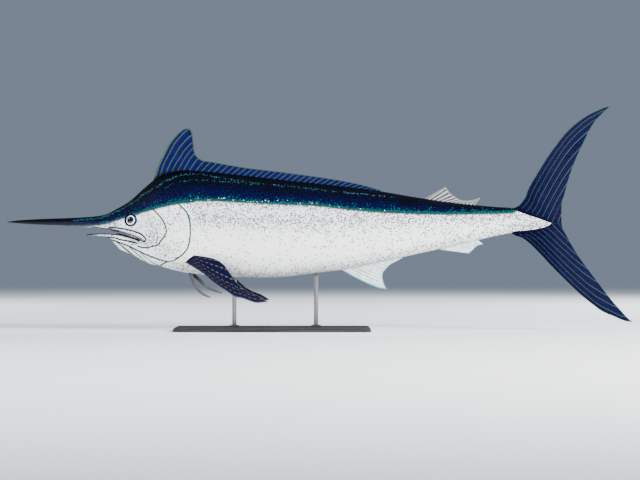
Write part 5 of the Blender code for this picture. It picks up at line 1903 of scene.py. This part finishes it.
class ScatterTree:
    """A node tree that sets one small shape on every point and joins the copies into one mesh."""

    vectors = ("outward", "lie", "size", "root_place")

    def __init__(self, name: str) -> None:
        """Builds the tree.

        Args:
            name: the name of the tree.
        """
        self.tree = bpy.data.node_groups.new(name, "GeometryNodeTree")
        face = self.tree.interface
        for label, kind in (
            ("Geometry", "Geometry"), ("Shape", "Object"), ("Lift angle", "Float"),
            ("Size spread", "Float"), ("Patch width", "Float"), ("Seed", "Int"),
            ("Finish", "Material"),
        ):
            face.new_socket(label, in_out="INPUT", socket_type="NodeSocket" + kind)
        face.new_socket("Geometry", in_out="OUTPUT", socket_type="NodeSocketGeometry")
        wiring = Wiring(self.tree)
        given = wiring.node("NodeGroupInput").outputs
        shape = wiring.fed("GeometryNodeObjectInfo", {"Object": given["Shape"]}, "Geometry")
        axes = dict(enumerate(self._read(wiring, name) for name in ("outward", "lie")))
        turn = wiring.fed(
            "FunctionNodeAxesToRotation", axes, primary_axis="Z", secondary_axis="X"
        )
        lift = self._random(wiring, 0.7, 1.3, given["Seed"])
        angle = wiring.times(lift, wiring.times(given["Lift angle"], -1.0))
        euler = wiring.fed("ShaderNodeCombineXYZ", {1: angle})
        tilted = wiring.fed(
            "FunctionNodeRotateRotation", {0: turn, 1: euler}, rotation_space="LOCAL"
        )
        chance = self._random(wiring, -1.0, 1.0, wiring.math("ADD", given["Seed"], 7.0))
        growth = wiring.scaled(chance, given["Size spread"], 1.0)
        size = self._vectors(wiring, "SCALE", "size", {"Scale": growth})
        copies = wiring.fed("GeometryNodeInstanceOnPoints", {
            "Points": given["Geometry"], "Instance": shape, "Rotation": tilted, "Scale": size,
        })
        joined = wiring.fed("GeometryNodeRealizeInstances", {0: copies})
        offset = self._vectors(wiring, "SCALE", "patch", {"Scale": given["Patch width"]})
        spot = self._vectors(wiring, "ADD", "root_place", {1: offset})
        values = {"Name": "OFBake", "Geometry": joined, "Value": spot}
        kind = "GeometryNodeStoreNamedAttribute"
        kept = wiring.fed(kind, values, data_type="FLOAT2", domain="CORNER")
        dressed = {"Geometry": kept, "Material": given["Finish"]}
        final = wiring.fed("GeometryNodeSetMaterial", dressed)
        wiring.feed(wiring.node("NodeGroupOutput").inputs[0], final)

    @staticmethod
    def _read(wiring: Wiring, name: str) -> Socket:
        """The vector that each point keeps under this name."""
        kind = "GeometryNodeInputNamedAttribute"
        return wiring.fed(kind, {"Name": name}, "Attribute", data_type="FLOAT_VECTOR")

    def _vectors(
        self, wiring: Wiring, operation: str, name: str, values: dict[int | str, object]
    ) -> Socket:
        """The result of a vector operation on the vector that each point keeps under a name."""
        fed = {0: self._read(wiring, name), **values}
        return wiring.fed("ShaderNodeVectorMath", fed, operation=operation)

    @staticmethod
    def _random(wiring: Wiring, low: float, high: float, seed: object) -> Socket:
        """A random number for each point.

        Args:
            wiring: the nodes of the finish.
            low: the least number.
            high: the greatest number.
            seed: the seed of the draw.

        Returns:
            The number.
        """
        made = wiring.node("FunctionNodeRandomValue", data_type="FLOAT")
        floats = [socket for socket in made.inputs if socket.type == "VALUE" and socket.enabled]
        floats[0].default_value, floats[1].default_value = low, high
        wiring.feed(made.inputs["Seed"], seed)
        return next(socket for socket in made.outputs if socket.enabled)

    def lay(
        self, name: str, roots: dict[str, Array], shape: Thing,
        finish: Material, lift: float, spread: float, seed: int,
    ) -> Thing:
        """Sets the shape on every root.

        Args:
            name: the name of the piece.
            roots: the places in metres, with outward, lie, size and root_place for each.
            shape: the small shape, one unit long along X.
            finish: the finish of the joined mesh.
            lift: how far each copy's end is lifted, in radians.
            spread: how much the sizes differ, as a share.
            seed: the seed of everything random.

        Returns:
            The joined mesh as a plain object.
        """
        data = bpy.data.meshes.new(name + "_roots")
        data.from_pydata(roots["place"].tolist(), [], [])
        for key in self.vectors:
            store(data, key, roots[key])
        chance = np.random.default_rng(seed).uniform(-1, 1, len(roots["place"]))
        store(data, "tint", chance)
        holder = linked(name + "_roots", data)
        modifier = holder.modifiers.new("laid", "NODES")
        modifier.node_group = self.tree
        values = {
            "Shape": shape, "Lift angle": lift, "Size spread": spread, "Patch width": 0.003,
            "Seed": seed, "Finish": finish,
        }
        for item in self.tree.interface.items_tree:
            if item.name in values:
                modifier[item.identifier] = values[item.name]
        graph = bpy.context.evaluated_depsgraph_get()
        mesh = bpy.data.meshes.new_from_object(holder.evaluated_get(graph), depsgraph=graph)
        holder.modifiers.remove(modifier)
        bpy.data.objects.remove(holder)
        for key in (*self.vectors, "patch"):
            mesh.attributes.remove(mesh.attributes[key])
        mesh.name = name
        return linked(name, mesh)


def small_shape(name: str, points: Table, faces: Faces) -> Thing:
    """A small closed shape, one unit long along X, for a node tree to copy.

    Args:
        name: the shape's name.
        points: its corners.
        faces: the corners of each face, outward.

    Returns:
        The shape as an object, which the caller removes when the copies are made.
    """
    data = bpy.data.meshes.new(name)
    data.from_pydata(points, [], faces)
    store(data, "patch", [(x - 0.5, y, 0) for x, y, _ in points])
    return linked(name, data)


@dataclass(frozen=True)
class ScaleField:
    """One field of scales: where it lies and how large its scales are, in millimetres."""

    name: str
    zone: Zone
    start: float
    end: float
    pitch: tuple[float, float]
    size: tuple[float, float, float]
    slot: str


@dataclass
class ScaleCoat:
    """The coat of thin lance-shaped scales that overlap and lie along the body."""

    skin: BodySkin
    tree: ScatterTree
    lift: float = 0.05
    sunk: float = 0.25
    throat_gap: float = 4.0
    gill_gap: float = 6.0
    cheek_gap: float = 8.0
    eye_gap: float = 43.0
    pit_gap: float = 9.0
    fields: tuple[ScaleField, ...] = (
        ScaleField("face", Zone.FACE, 560, 885, (4.4, 2.5), (7.2, 2.7, 0.30), "head"),
        ScaleField("gill", Zone.GILL, 752, 1016, (5.8, 3.2), (9.6, 3.5, 0.36), "gill_cover"),
        ScaleField("shoulder", Zone.TRUNK, 840, 1400, (9.0, 4.9), (15.5, 5.4, 0.50), "trunk"),
        ScaleField("flank", Zone.TRUNK, 1400, 1990, (9.0, 4.9), (15.5, 5.4, 0.50), "trunk"),
        ScaleField("loin", Zone.TRUNK, 1990, 2480, (8.0, 4.4), (14.0, 4.8, 0.45), "trunk"),
        ScaleField("stem", Zone.TRUNK, 2480, 2972, (6.0, 3.3), (10.4, 3.6, 0.36), "tail"),
    )

    def roots(self, plot: ScaleField, side: Side) -> dict[str, Array]:
        """Where the scales of one field stand, in staggered rows round the body.

        Args:
            plot: the field of scales.
            side: the side of the fish.

        Returns:
            Places in metres, directions, sizes and places on the unwrapped skin.
        """
        x = np.arange(plot.start, plot.end, plot.pitch[0])[:, None]
        level = np.linspace(0, 1, 160)[None]
        upper, upper_out = self.skin.surface(x, level, True)
        lower, lower_out = self.skin.surface(np.maximum(x, FORM.mouth_corner), level[:, 1:], False)
        ring = np.concatenate((upper, lower), 1)
        out = np.concatenate((upper_out, lower_out), 1)
        lie = np.gradient(ring, axis=0)
        lie /= np.maximum(np.linalg.norm(lie, axis=-1), 1e-9)[..., None]
        steps = np.linalg.norm(np.diff(ring, axis=1), axis=-1)
        walked = np.concatenate((np.zeros((len(x), 1)), np.cumsum(steps, axis=1)), 1)
        found = []
        for i in range(len(x)):
            last = walked[i, -1] if x[i, 0] >= FORM.mouth_corner else walked[i, level.size - 1]
            at = np.arange(plot.pitch[1] * (0.25 + 0.5 * (i % 2)), last, plot.pitch[1])
            grids = np.concatenate((ring[i], out[i], lie[i]), -1)
            columns = [np.interp(at, walked[i], column) for column in grids.T]
            found.append(np.stack((*columns, at), -1))
        table = np.concatenate(found)
        table = table[self._bare(plot.zone, table[:, 0], table[:, 2])]
        mirror = np.array((1, side.value, 1))
        place, outward, along = (table[:, i : i + 3] * mirror for i in (0, 3, 6))
        unwrapped = np.zeros((len(table), 3))
        unwrapped[:, 0] = 0.01 + 0.98 * (table[:, 0] - plot.start) / (plot.end - plot.start)
        unwrapped[:, 1] = 0.01 + 0.98 * table[:, 9] / walked.max()
        return {
            "place": placed(place - outward * self.sunk), "outward": outward, "lie": along,
            "size": np.tile(np.array(plot.size) * MM, (len(table), 1)), "root_place": unwrapped,
        }

    def _bare(self, zone: Zone, x: Array, z: Array) -> Array:
        """Which roots are kept, with the lips, the eye, the folds and the edges left clear.

        Args:
            zone: the part of the fish that the roots belong to.
            x: places along the fish.
            z: heights.

        Returns:
            True for each root that is kept.
        """
        front, rear = curve_at(HEAD.gill_front, z), curve_at(HEAD.gill_rear, z)
        cheek = distance_to(HEAD.cheek_edge, x, z)
        gill = distance_to(HEAD.gill_edge, x, z)
        over_throat = z > curve_at(HEAD.throat_top, x) + self.throat_gap
        if zone is Zone.TRUNK:
            rim = np.minimum(FORM.back(x) - z, z - FORM.belly(x))
            behind = (x > rear + 4) & ((gill > self.gill_gap) | (z > 104))
            return behind & ((x < 2755) | (rim > 12))
        if zone is Zone.GILL:
            clear = (gill > 16) | (x < rear - 16) | (z > 96)
            return (x > front - 1) & (x < rear + 4) & clear & (cheek > 5) & over_throat
        eye = np.hypot(x - HEAD.eye[0], z - HEAD.eye[1])
        pits = [np.hypot(x - at_x, z - at_z) for at_x, at_z in HEAD.nostrils]
        lips = (HEAD.in_lip(x, z) < -6) & (z > FORM.lip(x) + 7 * (x < 770))
        lips &= (x > 775) | (z > HEAD.lip_height(x) + 5)
        own = (x < front - 1) & (cheek > self.cheek_gap) & over_throat
        own &= (x > 566 + 0.4 * np.abs(z)) & (x > 575)
        return own & lips & (eye > self.eye_gap) & (np.min(pits, axis=0) > self.pit_gap)

    def build(self, finish: Material) -> None:
        """Makes every field of scales on both sides.

        Args:
            finish: the painted hide without the lines of the head.
        """
        outline = (
            (0, 0, 0), (0.22, 0.36, 0), (0.60, 0.44, 0), (1, 0, 0.1), (0.60, -0.44, 0),
            (0.22, -0.36, 0), (0.48, 0, 1),
        )
        slopes = [(6, (i + 1) % 6, i) for i in range(6)]
        shape = small_shape("lance_scale", outline, [*slopes, tuple(range(6))])
        for number, plot in enumerate(self.fields):
            for side in Side:
                seed = 10 * number + side.value + 5
                roots = self.roots(plot, side)
                name = f"scales_{plot.name}_{side.name.lower()}"
                made = self.tree.lay(name, roots, shape, finish, self.lift, 0.12, seed)
                place = np.zeros(len(made.data.vertices) * 3, np.float32)
                made.data.vertices.foreach_get("co", place)
                place = place.reshape(-1, 3) / MM + np.array((LENGTH / 2, 0, -AXIS_HEIGHT))
                for key, values in MARKINGS.values(place[:, 0], place[:, 2]).items():
                    store(made.data, key, values)
                finish_piece(made, finish, plot.slot)
        bpy.data.objects.remove(shape)


@dataclass(frozen=True)
class SoftFinish:
    """A moist, finely pitted finish for the tongue and the teeth."""

    pale: Colour
    deep: Colour
    roughness: float = 0.3

    def build(self, name: str) -> Material:
        """Makes the finish.

        Args:
            name: the name of the material.

        Returns:
            The material.
        """
        material, wiring, shader = new_finish(name, Roughness=self.roughness, Coat_Weight=0.4)
        cloud = wiring.noise(120.0, 160.0, 160.0, detail=4.0)
        colour = wiring.paint(self.deep, self.pale, cloud, 0.3, 0.7)
        normal = wiring.bump(wiring.cells(420.0)[0], 0.3, 0.0005)
        wiring.plug(shader, Base_Color=colour, Normal=normal)
        return material


def tube(name: str, rings: Array, angle: float = 40.0) -> Thing:
    """A closed body through rings of points, with both ends capped.

    Args:
        name: the name of the piece.
        rings: points in metres, by ring and place round it.
        angle: the crease angle in degrees above which an edge stays sharp.

    Returns:
        The new object.
    """
    count, around = rings.shape[:2]
    numbers = np.arange(count * around).reshape(count, around)
    turned = np.roll(numbers, -1, axis=1)
    faces = quads(numbers[:-1], turned[:-1], turned[1:], numbers[1:])
    points = np.vstack((rings.reshape(-1, 3), rings[0].mean(axis=0), rings[-1].mean(axis=0)))
    faces += fan(numbers[0].tolist(), numbers.size) + fan(numbers[-1].tolist(), numbers.size + 1)
    return shaded_object(name, points, faces, angle)


@dataclass
class MouthParts:
    """The tongue on the mouth's floor, and the bands of small file-like teeth."""

    tree: ScatterTree
    start: float = 606.0
    end: float = 752.0
    tip_length: float = 26.0
    tooth: tuple[float, float, float] = (2.4, 1.3, 1.3)
    tooth_pitch: float = 3.0
    tooth_sunk: float = 1.6
    tooth_rows: int = 3
    teeth_start: float = 548.0
    teeth_end: float = 742.0
    tooth_stagger: float = 1.3
    tooth_inset: float = 5.0
    row_gap: float = 2.4

    def build(self) -> None:
        """Makes the tongue and the teeth."""
        # the tongue's flesh is kept near black, painted shade inside the mouth
        self._tongue(SoftFinish((0.016, 0.010, 0.022), (0.005, 0.004, 0.012)).build("tongue_flesh"))
        self._teeth(SoftFinish((0.72, 0.70, 0.62), (0.50, 0.48, 0.42), 0.25).build("tooth"))

    def _tongue(self, finish: Material) -> None:
        """A low tongue with a groove down its middle, which stands for the tongue's node.

        Args:
            finish: the finish of the piece.
        """
        x = np.linspace(self.start, self.end, 36)
        turns = whole_turn(28)
        wide = 0.56 * curve_at(FORM.jaw_half_width_line, x)
        nose = np.clip(1 - (1 - (x - self.start) / self.tip_length) ** 2, 0.02, 1)
        wide *= np.sqrt(np.where(x < self.start + self.tip_length, nose, 1))
        low, high = FORM.jaw(x) - 1.0, FORM.jaw(x) + 0.5 * (FORM.lip(x) - FORM.jaw(x))
        middle, tall = (low + high) / 2, np.maximum((high - low) / 2, 0.8)
        y = np.outer(wide, np.sign(np.cos(turns)) * np.abs(np.cos(turns)) ** 0.7)
        z = middle[:, None] + np.outer(tall, np.sign(np.sin(turns)) * np.abs(np.sin(turns)) ** 0.7)
        z -= np.outer(0.5 * tall, bell(np.cos(turns), 0.25) * (np.sin(turns) > 0))
        rings = np.stack((np.broadcast_to(x[:, None], y.shape), y, z), -1)
        made = tube("tongue_flesh", placed(rings))
        finish_piece(made, finish, "mouth", "tongue")

    def _teeth(self, finish: Material) -> None:
        """Small teeth in staggered rows inside both lips.

        Args:
            finish: the finish of the piece.
        """
        spike = small_shape(
            "tooth_spike",
            ((0, 0.5, 0.5), (0, -0.5, 0.5), (0, -0.5, -0.5), (0, 0.5, -0.5), (1, 0, 0.1)),
            ((0, 1, 4), (1, 2, 4), (2, 3, 4), (3, 0, 4), (3, 2, 1, 0)),
        )
        rows = []
        for way, edge, width in ((-1, FORM.lip, FORM.upper_width), (1, FORM.jaw, FORM.lower_width)):
            for row in range(self.tooth_rows):
                start = self.teeth_start + self.tooth_stagger * row
                x = np.arange(start, self.teeth_end, self.tooth_pitch)
                z = edge(x)
                y = np.maximum(width(x, z) - self.tooth_inset - self.row_gap * row, 0.5)
                low, ways = z - way * self.tooth_sunk, np.full(len(x), way)
                rows += [np.stack((x, side.value * y, low, ways), -1) for side in Side]
        table = np.concatenate(rows)
        spots = np.zeros((len(table), 3))
        spots[:, 0] = (table[:, 0] - 540) / 210
        spots[:, 1] = 0.5 + table[:, 1] / 260
        roots = {
            "place": placed(table[:, :3]), "outward": np.tile((-1.0, 0.0, 0.0), (len(table), 1)),
            "lie": np.stack((np.zeros(len(table)), np.zeros(len(table)), table[:, 3]), -1),
            "size": np.tile(np.array(self.tooth) * MM, (len(table), 1)), "root_place": spots,
        }
        made = self.tree.lay("teeth", roots, spike, finish, 0.25, 0.25, 3)
        bpy.data.objects.remove(spike)
        finish_piece(made, finish, "mouth")


@dataclass(frozen=True)
class BoardFinish:
    """Matt black paint over wood, whose grain along the base shows through."""

    light: Colour = (0.030, 0.029, 0.031)
    dark: Colour = (0.010, 0.010, 0.011)

    def build(self) -> Material:
        """Makes the finish.

        Returns:
            The material.
        """
        material, wiring, shader = new_finish("painted_wood", Coat_Weight=0.08, Coat_Roughness=0.4)
        sway = wiring.noise(1.6, 9.0, 9.0, detail=4.0)
        rings = wiring.node("ShaderNodeTexWave", bands_direction="Y")
        place = wiring.place(0.5, 11.0, 11.0)
        wiring.plug(rings, Vector=place, Distortion=7.0, Detail=3.0, Detail_Scale=0.8)
        fibre = wiring.noise(18.0, 520.0, 520.0)
        share = wiring.scaled(rings.outputs["Fac"], 0.6, wiring.times(sway, 0.4))
        share = wiring.scaled(wiring.centred(fibre), 0.5, share)
        colour = wiring.paint(self.dark, self.light, share, 0.2, 0.85)
        rough, normal = wiring.scaled(fibre, 0.25, 0.42), wiring.bump(fibre, 0.15, 0.0004)
        wiring.plug(shader, Base_Color=colour, Roughness=rough, Normal=normal)
        return material


@dataclass(frozen=True)
class SteelFinish:
    """Brushed steel with fine lines round or along the part."""

    name: str
    stretch: tuple[float, float, float]
    light: Colour = (0.44, 0.45, 0.47)
    dark: Colour = (0.28, 0.29, 0.31)

    def build(self) -> Material:
        """Makes the finish.

        Returns:
            The material.
        """
        material, wiring, shader = new_finish(self.name, Metallic=1.0)
        lines = wiring.noise(*self.stretch, detail=2.0)
        colour = wiring.mix(lines, self.dark, self.light)
        rough, normal = wiring.scaled(lines, 0.22, 0.22), wiring.bump(lines, 0.12, 0.0003)
        wiring.plug(shader, Base_Color=colour, Roughness=rough, Normal=normal)
        return material


@dataclass
class DisplayStand:
    """A moulded wooden base with two steel rods and their turned collars, in metres."""

    size: tuple[float, float, float] = (1.08, 0.46, 0.024)
    centre: float = 1460.0
    corner: float = 0.045
    rod_radius: float = 0.012
    places: tuple[tuple[str, float], ...] = (("front", 1250.0), ("rear", 1700.0))
    ferrule: Table = (
        (0.012, -0.020), (0.0145, -0.019), (0.0145, -0.008), (0.0135, -0.006),
        (0.0135, 0.010), (0.004, 0.014),
    )
    collar: Table = (
        (0.0124, 0.012), (0.0165, 0.012), (0.0172, 0.0108), (0.0235, 0.0105),
        (0.0265, 0.0092), (0.0277, 0.0072), (0.028, 0.005), (0.028, 0.001), (0.0272, 0.0),
        (0.0124, 0.0),
    )
    screw: Table = (
        (0.0022, 0.0), (0.0022, 0.0007), (0.0016, 0.0013), (0.0009, 0.0014), (0.0008, 0.0006),
    )
    screw_ring: float = 0.0205
    screw_sides: int = 18
    moulding: Table = (
        (0.0022, 0.0), (0.0006, 0.0004), (0.0, 0.0018), (0.0, 0.0120), (0.0004, 0.0132),
        (0.0030, 0.0138), (0.0034, 0.0146), (0.0038, 0.0170), (0.0052, 0.0196),
        (0.0078, 0.0214), (0.0110, 0.0222), (0.0116, 0.0230), (0.0130, 0.0238),
        (0.0150, 0.0240),
    )

    def build(self) -> None:
        """Makes the base, the rods and the collars."""
        self._base(BoardFinish().build())
        rod_steel = SteelFinish("drawn_steel", (700.0, 700.0, 9.0)).build()
        turned_steel = SteelFinish("turned_steel", (30.0, 30.0, 1600.0)).build()
        for name, place in self.places:
            at = (place - LENGTH / 2) * MM
            low = self.size[2] + 0.0003
            belly = (float(FORM.belly(np.array(place))) + AXIS_HEIGHT) * MM
            ferrule = [(radius, belly + height) for radius, height in self.ferrule]
            rod = self._turned(f"rod_{name}", at, ((0.004, low), (self.rod_radius, low), *ferrule))
            finish_piece(rod, rod_steel, "stand_metal", f"stand_rod_{name}")
            raised = [(radius, height + low) for radius, height in self.collar]
            collar = self._turned(f"collar_{name}", at, (*raised, raised[0]))
            finish_piece(collar, turned_steel, "stand_metal", f"stand_collar_{name}")
            self._screws(f"collar_screws_{name}", at, low + 0.0100, turned_steel)

    def _turned(self, name: str, at: float, profile: Sequence[tuple[float, float]]) -> Thing:
        """A turned part round an upright axis.

        Args:
            name: the name of the piece.
            at: the axis's place along X.
            profile: pairs of radius and height; a closed one makes a ring.

        Returns:
            The new object.
        """
        turns = whole_turn(64)
        rings = np.array([
            np.stack((at + radius * np.cos(turns), radius * np.sin(turns), np.full(64, height)), -1)
            for radius, height in profile
        ])
        if profile[0] != profile[-1]:
            return tube(name, rings, 35.0)
        count = len(profile) - 1
        numbers = np.arange(count * 64).reshape(count, 64)
        ahead, turned = np.roll(numbers, -1, axis=0), np.roll(numbers, -1, axis=1)
        faces = quads(numbers, turned, np.roll(ahead, -1, axis=1), ahead)
        return shaded_object(name, rings[:-1].reshape(-1, 3), faces, 35.0)

    def _screws(self, name: str, at: float, low: float, finish: Material) -> None:
        """Three domed screw heads on a collar's flange, with a round socket in each.

        Args:
            name: the name of the piece.
            at: the place of the rod.
            low: the height of the flange.
            finish: the finish of the piece.
        """
        points: list[tuple[float, float, float]] = []
        faces: Faces = []
        for turn in (0.5, 0.5 + 2 * math.pi / 3, 0.5 + 4 * math.pi / 3):
            x, y = at + self.screw_ring * math.cos(turn), self.screw_ring * math.sin(turn)
            start = len(points)
            points.append((x, y, low))
            for radius, height in self.screw:
                for t in whole_turn(self.screw_sides):
                    near_x, near_y = x + radius * math.cos(t), y + radius * math.sin(t)
                    points.append((near_x, near_y, low + height))
            points.append((x, y, low + self.screw[-1][1]))
            rows = np.arange(start + 1, len(points) - 1).reshape(-1, self.screw_sides)
            faces += fan(rows[0].tolist(), start) + fan(rows[-1].tolist(), len(points) - 1)
            turned = np.roll(rows, -1, axis=1)
            faces += quads(rows[:-1], turned[:-1], turned[1:], rows[1:])
        made = shaded_object(name, np.array(points), faces, 35.0)
        finish_piece(made, finish, "stand_metal")

    def _base(self, finish: Material) -> None:
        """A board with rounded corners and a moulded edge, which stands for the base's node.

        Args:
            finish: the finish of the piece.
        """
        middle = (self.centre - LENGTH / 2) * MM
        rings = []
        for inset, height in self.moulding:
            wide, deep = self.size[0] / 2 - inset, self.size[1] / 2 - inset
            radius = self.corner - inset
            ring = []
            for quarter, (way_x, way_y) in enumerate(((1, 1), (-1, 1), (-1, -1), (1, -1))):
                for turn in np.linspace(0, math.pi / 2, 13):
                    angle = turn + quarter * math.pi / 2
                    ring.append((
                        middle + way_x * (wide - radius) + radius * math.cos(angle),
                        way_y * (deep - radius) + radius * math.sin(angle), height,
                    ))
            rings.append(ring)
        made = tube("base_board", np.array(rings), 30.0)
        finish_piece(made, finish, "stand_base", "stand_base")


@dataclass
class Studio:
    """A pale floor that fades into a pale surround, soft lights, and the camera."""

    camera_place: tuple[float, float, float] = (-0.0015, -16.0, 0.501)
    frame_width: float = 3.52  # width of the view in the plane of the fish, in metres
    sensor: float = 36.0
    floor_radius: float = 18.0
    floor_fade: tuple[float, float] = (8.5, 16.0)
    surround: Colour = (0.52, 0.64, 0.84)
    surround_strength: float = 0.36
    lamps: tuple[tuple[str, tuple[float, float, float], float, float, bool], ...] = (
        ("key", (7.0, -6.4, 4.2), 3.4, 4000.0, False),
        ("fill", (-6.4, -7.4, 1.9), 4.0, 1300.0, False),
        ("glint", (-8.2, -3.4, 5.2), 1.3, 70.0, True),
        ("top", (0.0, 0.0, 5.6), 4.0, 12.0, False),
        ("rear_key", (6.5, 6.5, 3.6), 3.4, 1500.0, False),
        ("rear_fill", (-6.5, 6.5, 1.6), 3.0, 900.0, False),
    )

    def build(self) -> None:
        """Makes the floor, the surround, the lights and the camera."""
        self._floor()
        self._surround()
        for name, place, size, power, mirrored in self.lamps:
            self._lamp(name, Vector(place), size, power).visible_glossy = mirrored
        data = bpy.data.cameras.new("camera")
        data.sensor_width = self.sensor
        data.lens = self.sensor * -self.camera_place[1] / self.frame_width
        data.clip_end = 100.0
        camera = linked("camera", data)
        camera.location = self.camera_place
        camera.rotation_euler = (math.pi / 2, 0, 0)
        bpy.context.scene.camera = camera

    def _floor(self) -> None:
        """A wide round floor whose edge fades away."""
        material, wiring, shader = new_finish(
            "floor", Base_Color=(0.74, 0.75, 0.76), Roughness=0.7, Specular_IOR_Level=0.3,
            Emission_Color=(0.70, 0.73, 0.77), Emission_Strength=0.25,
        )
        place = wiring.node("ShaderNodeTexCoord").outputs["Object"]
        reach = wiring.fed("ShaderNodeVectorMath", {0: place}, "Value", operation="LENGTH")
        clear = wiring.node("ShaderNodeBsdfTransparent").outputs[0]
        values = {0: wiring.step(reach, *self.floor_fade), 1: shader.outputs[0], 2: clear}
        blend = wiring.fed("ShaderNodeMixShader", values)
        wiring.feed(material.node_tree.nodes["Material Output"].inputs[0], blend)
        turns = whole_turn(96)
        rim = np.stack((np.cos(turns), np.sin(turns), np.zeros(96)), -1) * self.floor_radius
        made = shaded_object("floor", rim, [tuple(range(96))])
        if made.data.polygons[0].normal.z < 0:
            made.data.flip_normals()
        made.data.materials.append(material)

    def _surround(self) -> None:
        """A pale, even light from all round."""
        world = bpy.data.worlds.new("surround")
        world.use_nodes = True
        shade = world.node_tree.nodes["Background"]
        shade.inputs["Color"].default_value = (*self.surround, 1.0)
        shade.inputs["Strength"].default_value = self.surround_strength
        bpy.context.scene.world = world

    @staticmethod
    def _lamp(name: str, place: Vector, size: float, power: float) -> Thing:
        """A large square lamp that faces the middle of the fish.

        Args:
            name: the name of the lamp.
            place: where it stands, in metres.
            size: the length of its side.
            power: its power in watts.

        Returns:
            The lamp.
        """
        data = bpy.data.lights.new(name, "AREA")
        data.shape = "SQUARE"
        data.size = size
        data.energy = power
        lamp = linked(name, data)
        lamp.location = place
        aim = Vector((0, 0, AXIS_HEIGHT * MM)) - place
        lamp.rotation_euler = aim.to_track_quat("-Z", "Y").to_euler()
        return lamp


def main() -> None:
    """Builds every piece in order."""
    logging.basicConfig(level=logging.INFO, format="%(name)s %(message)s")
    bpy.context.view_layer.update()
    Studio().build()
    skin = BodySkin()
    skin.build(HideFinish().build("hide", True))
    tree = ScatterTree("laid_shapes")
    ScaleCoat(skin, tree).build(HideFinish().build("scale_hide", False))
    MouthParts(tree).build()
    eye_finish = EyeFinish().build()
    for side in Side:
        Eye(side).build(eye_finish)
    FinSet().build()
    DisplayStand().build()


if __name__ == "__main__":
    main()
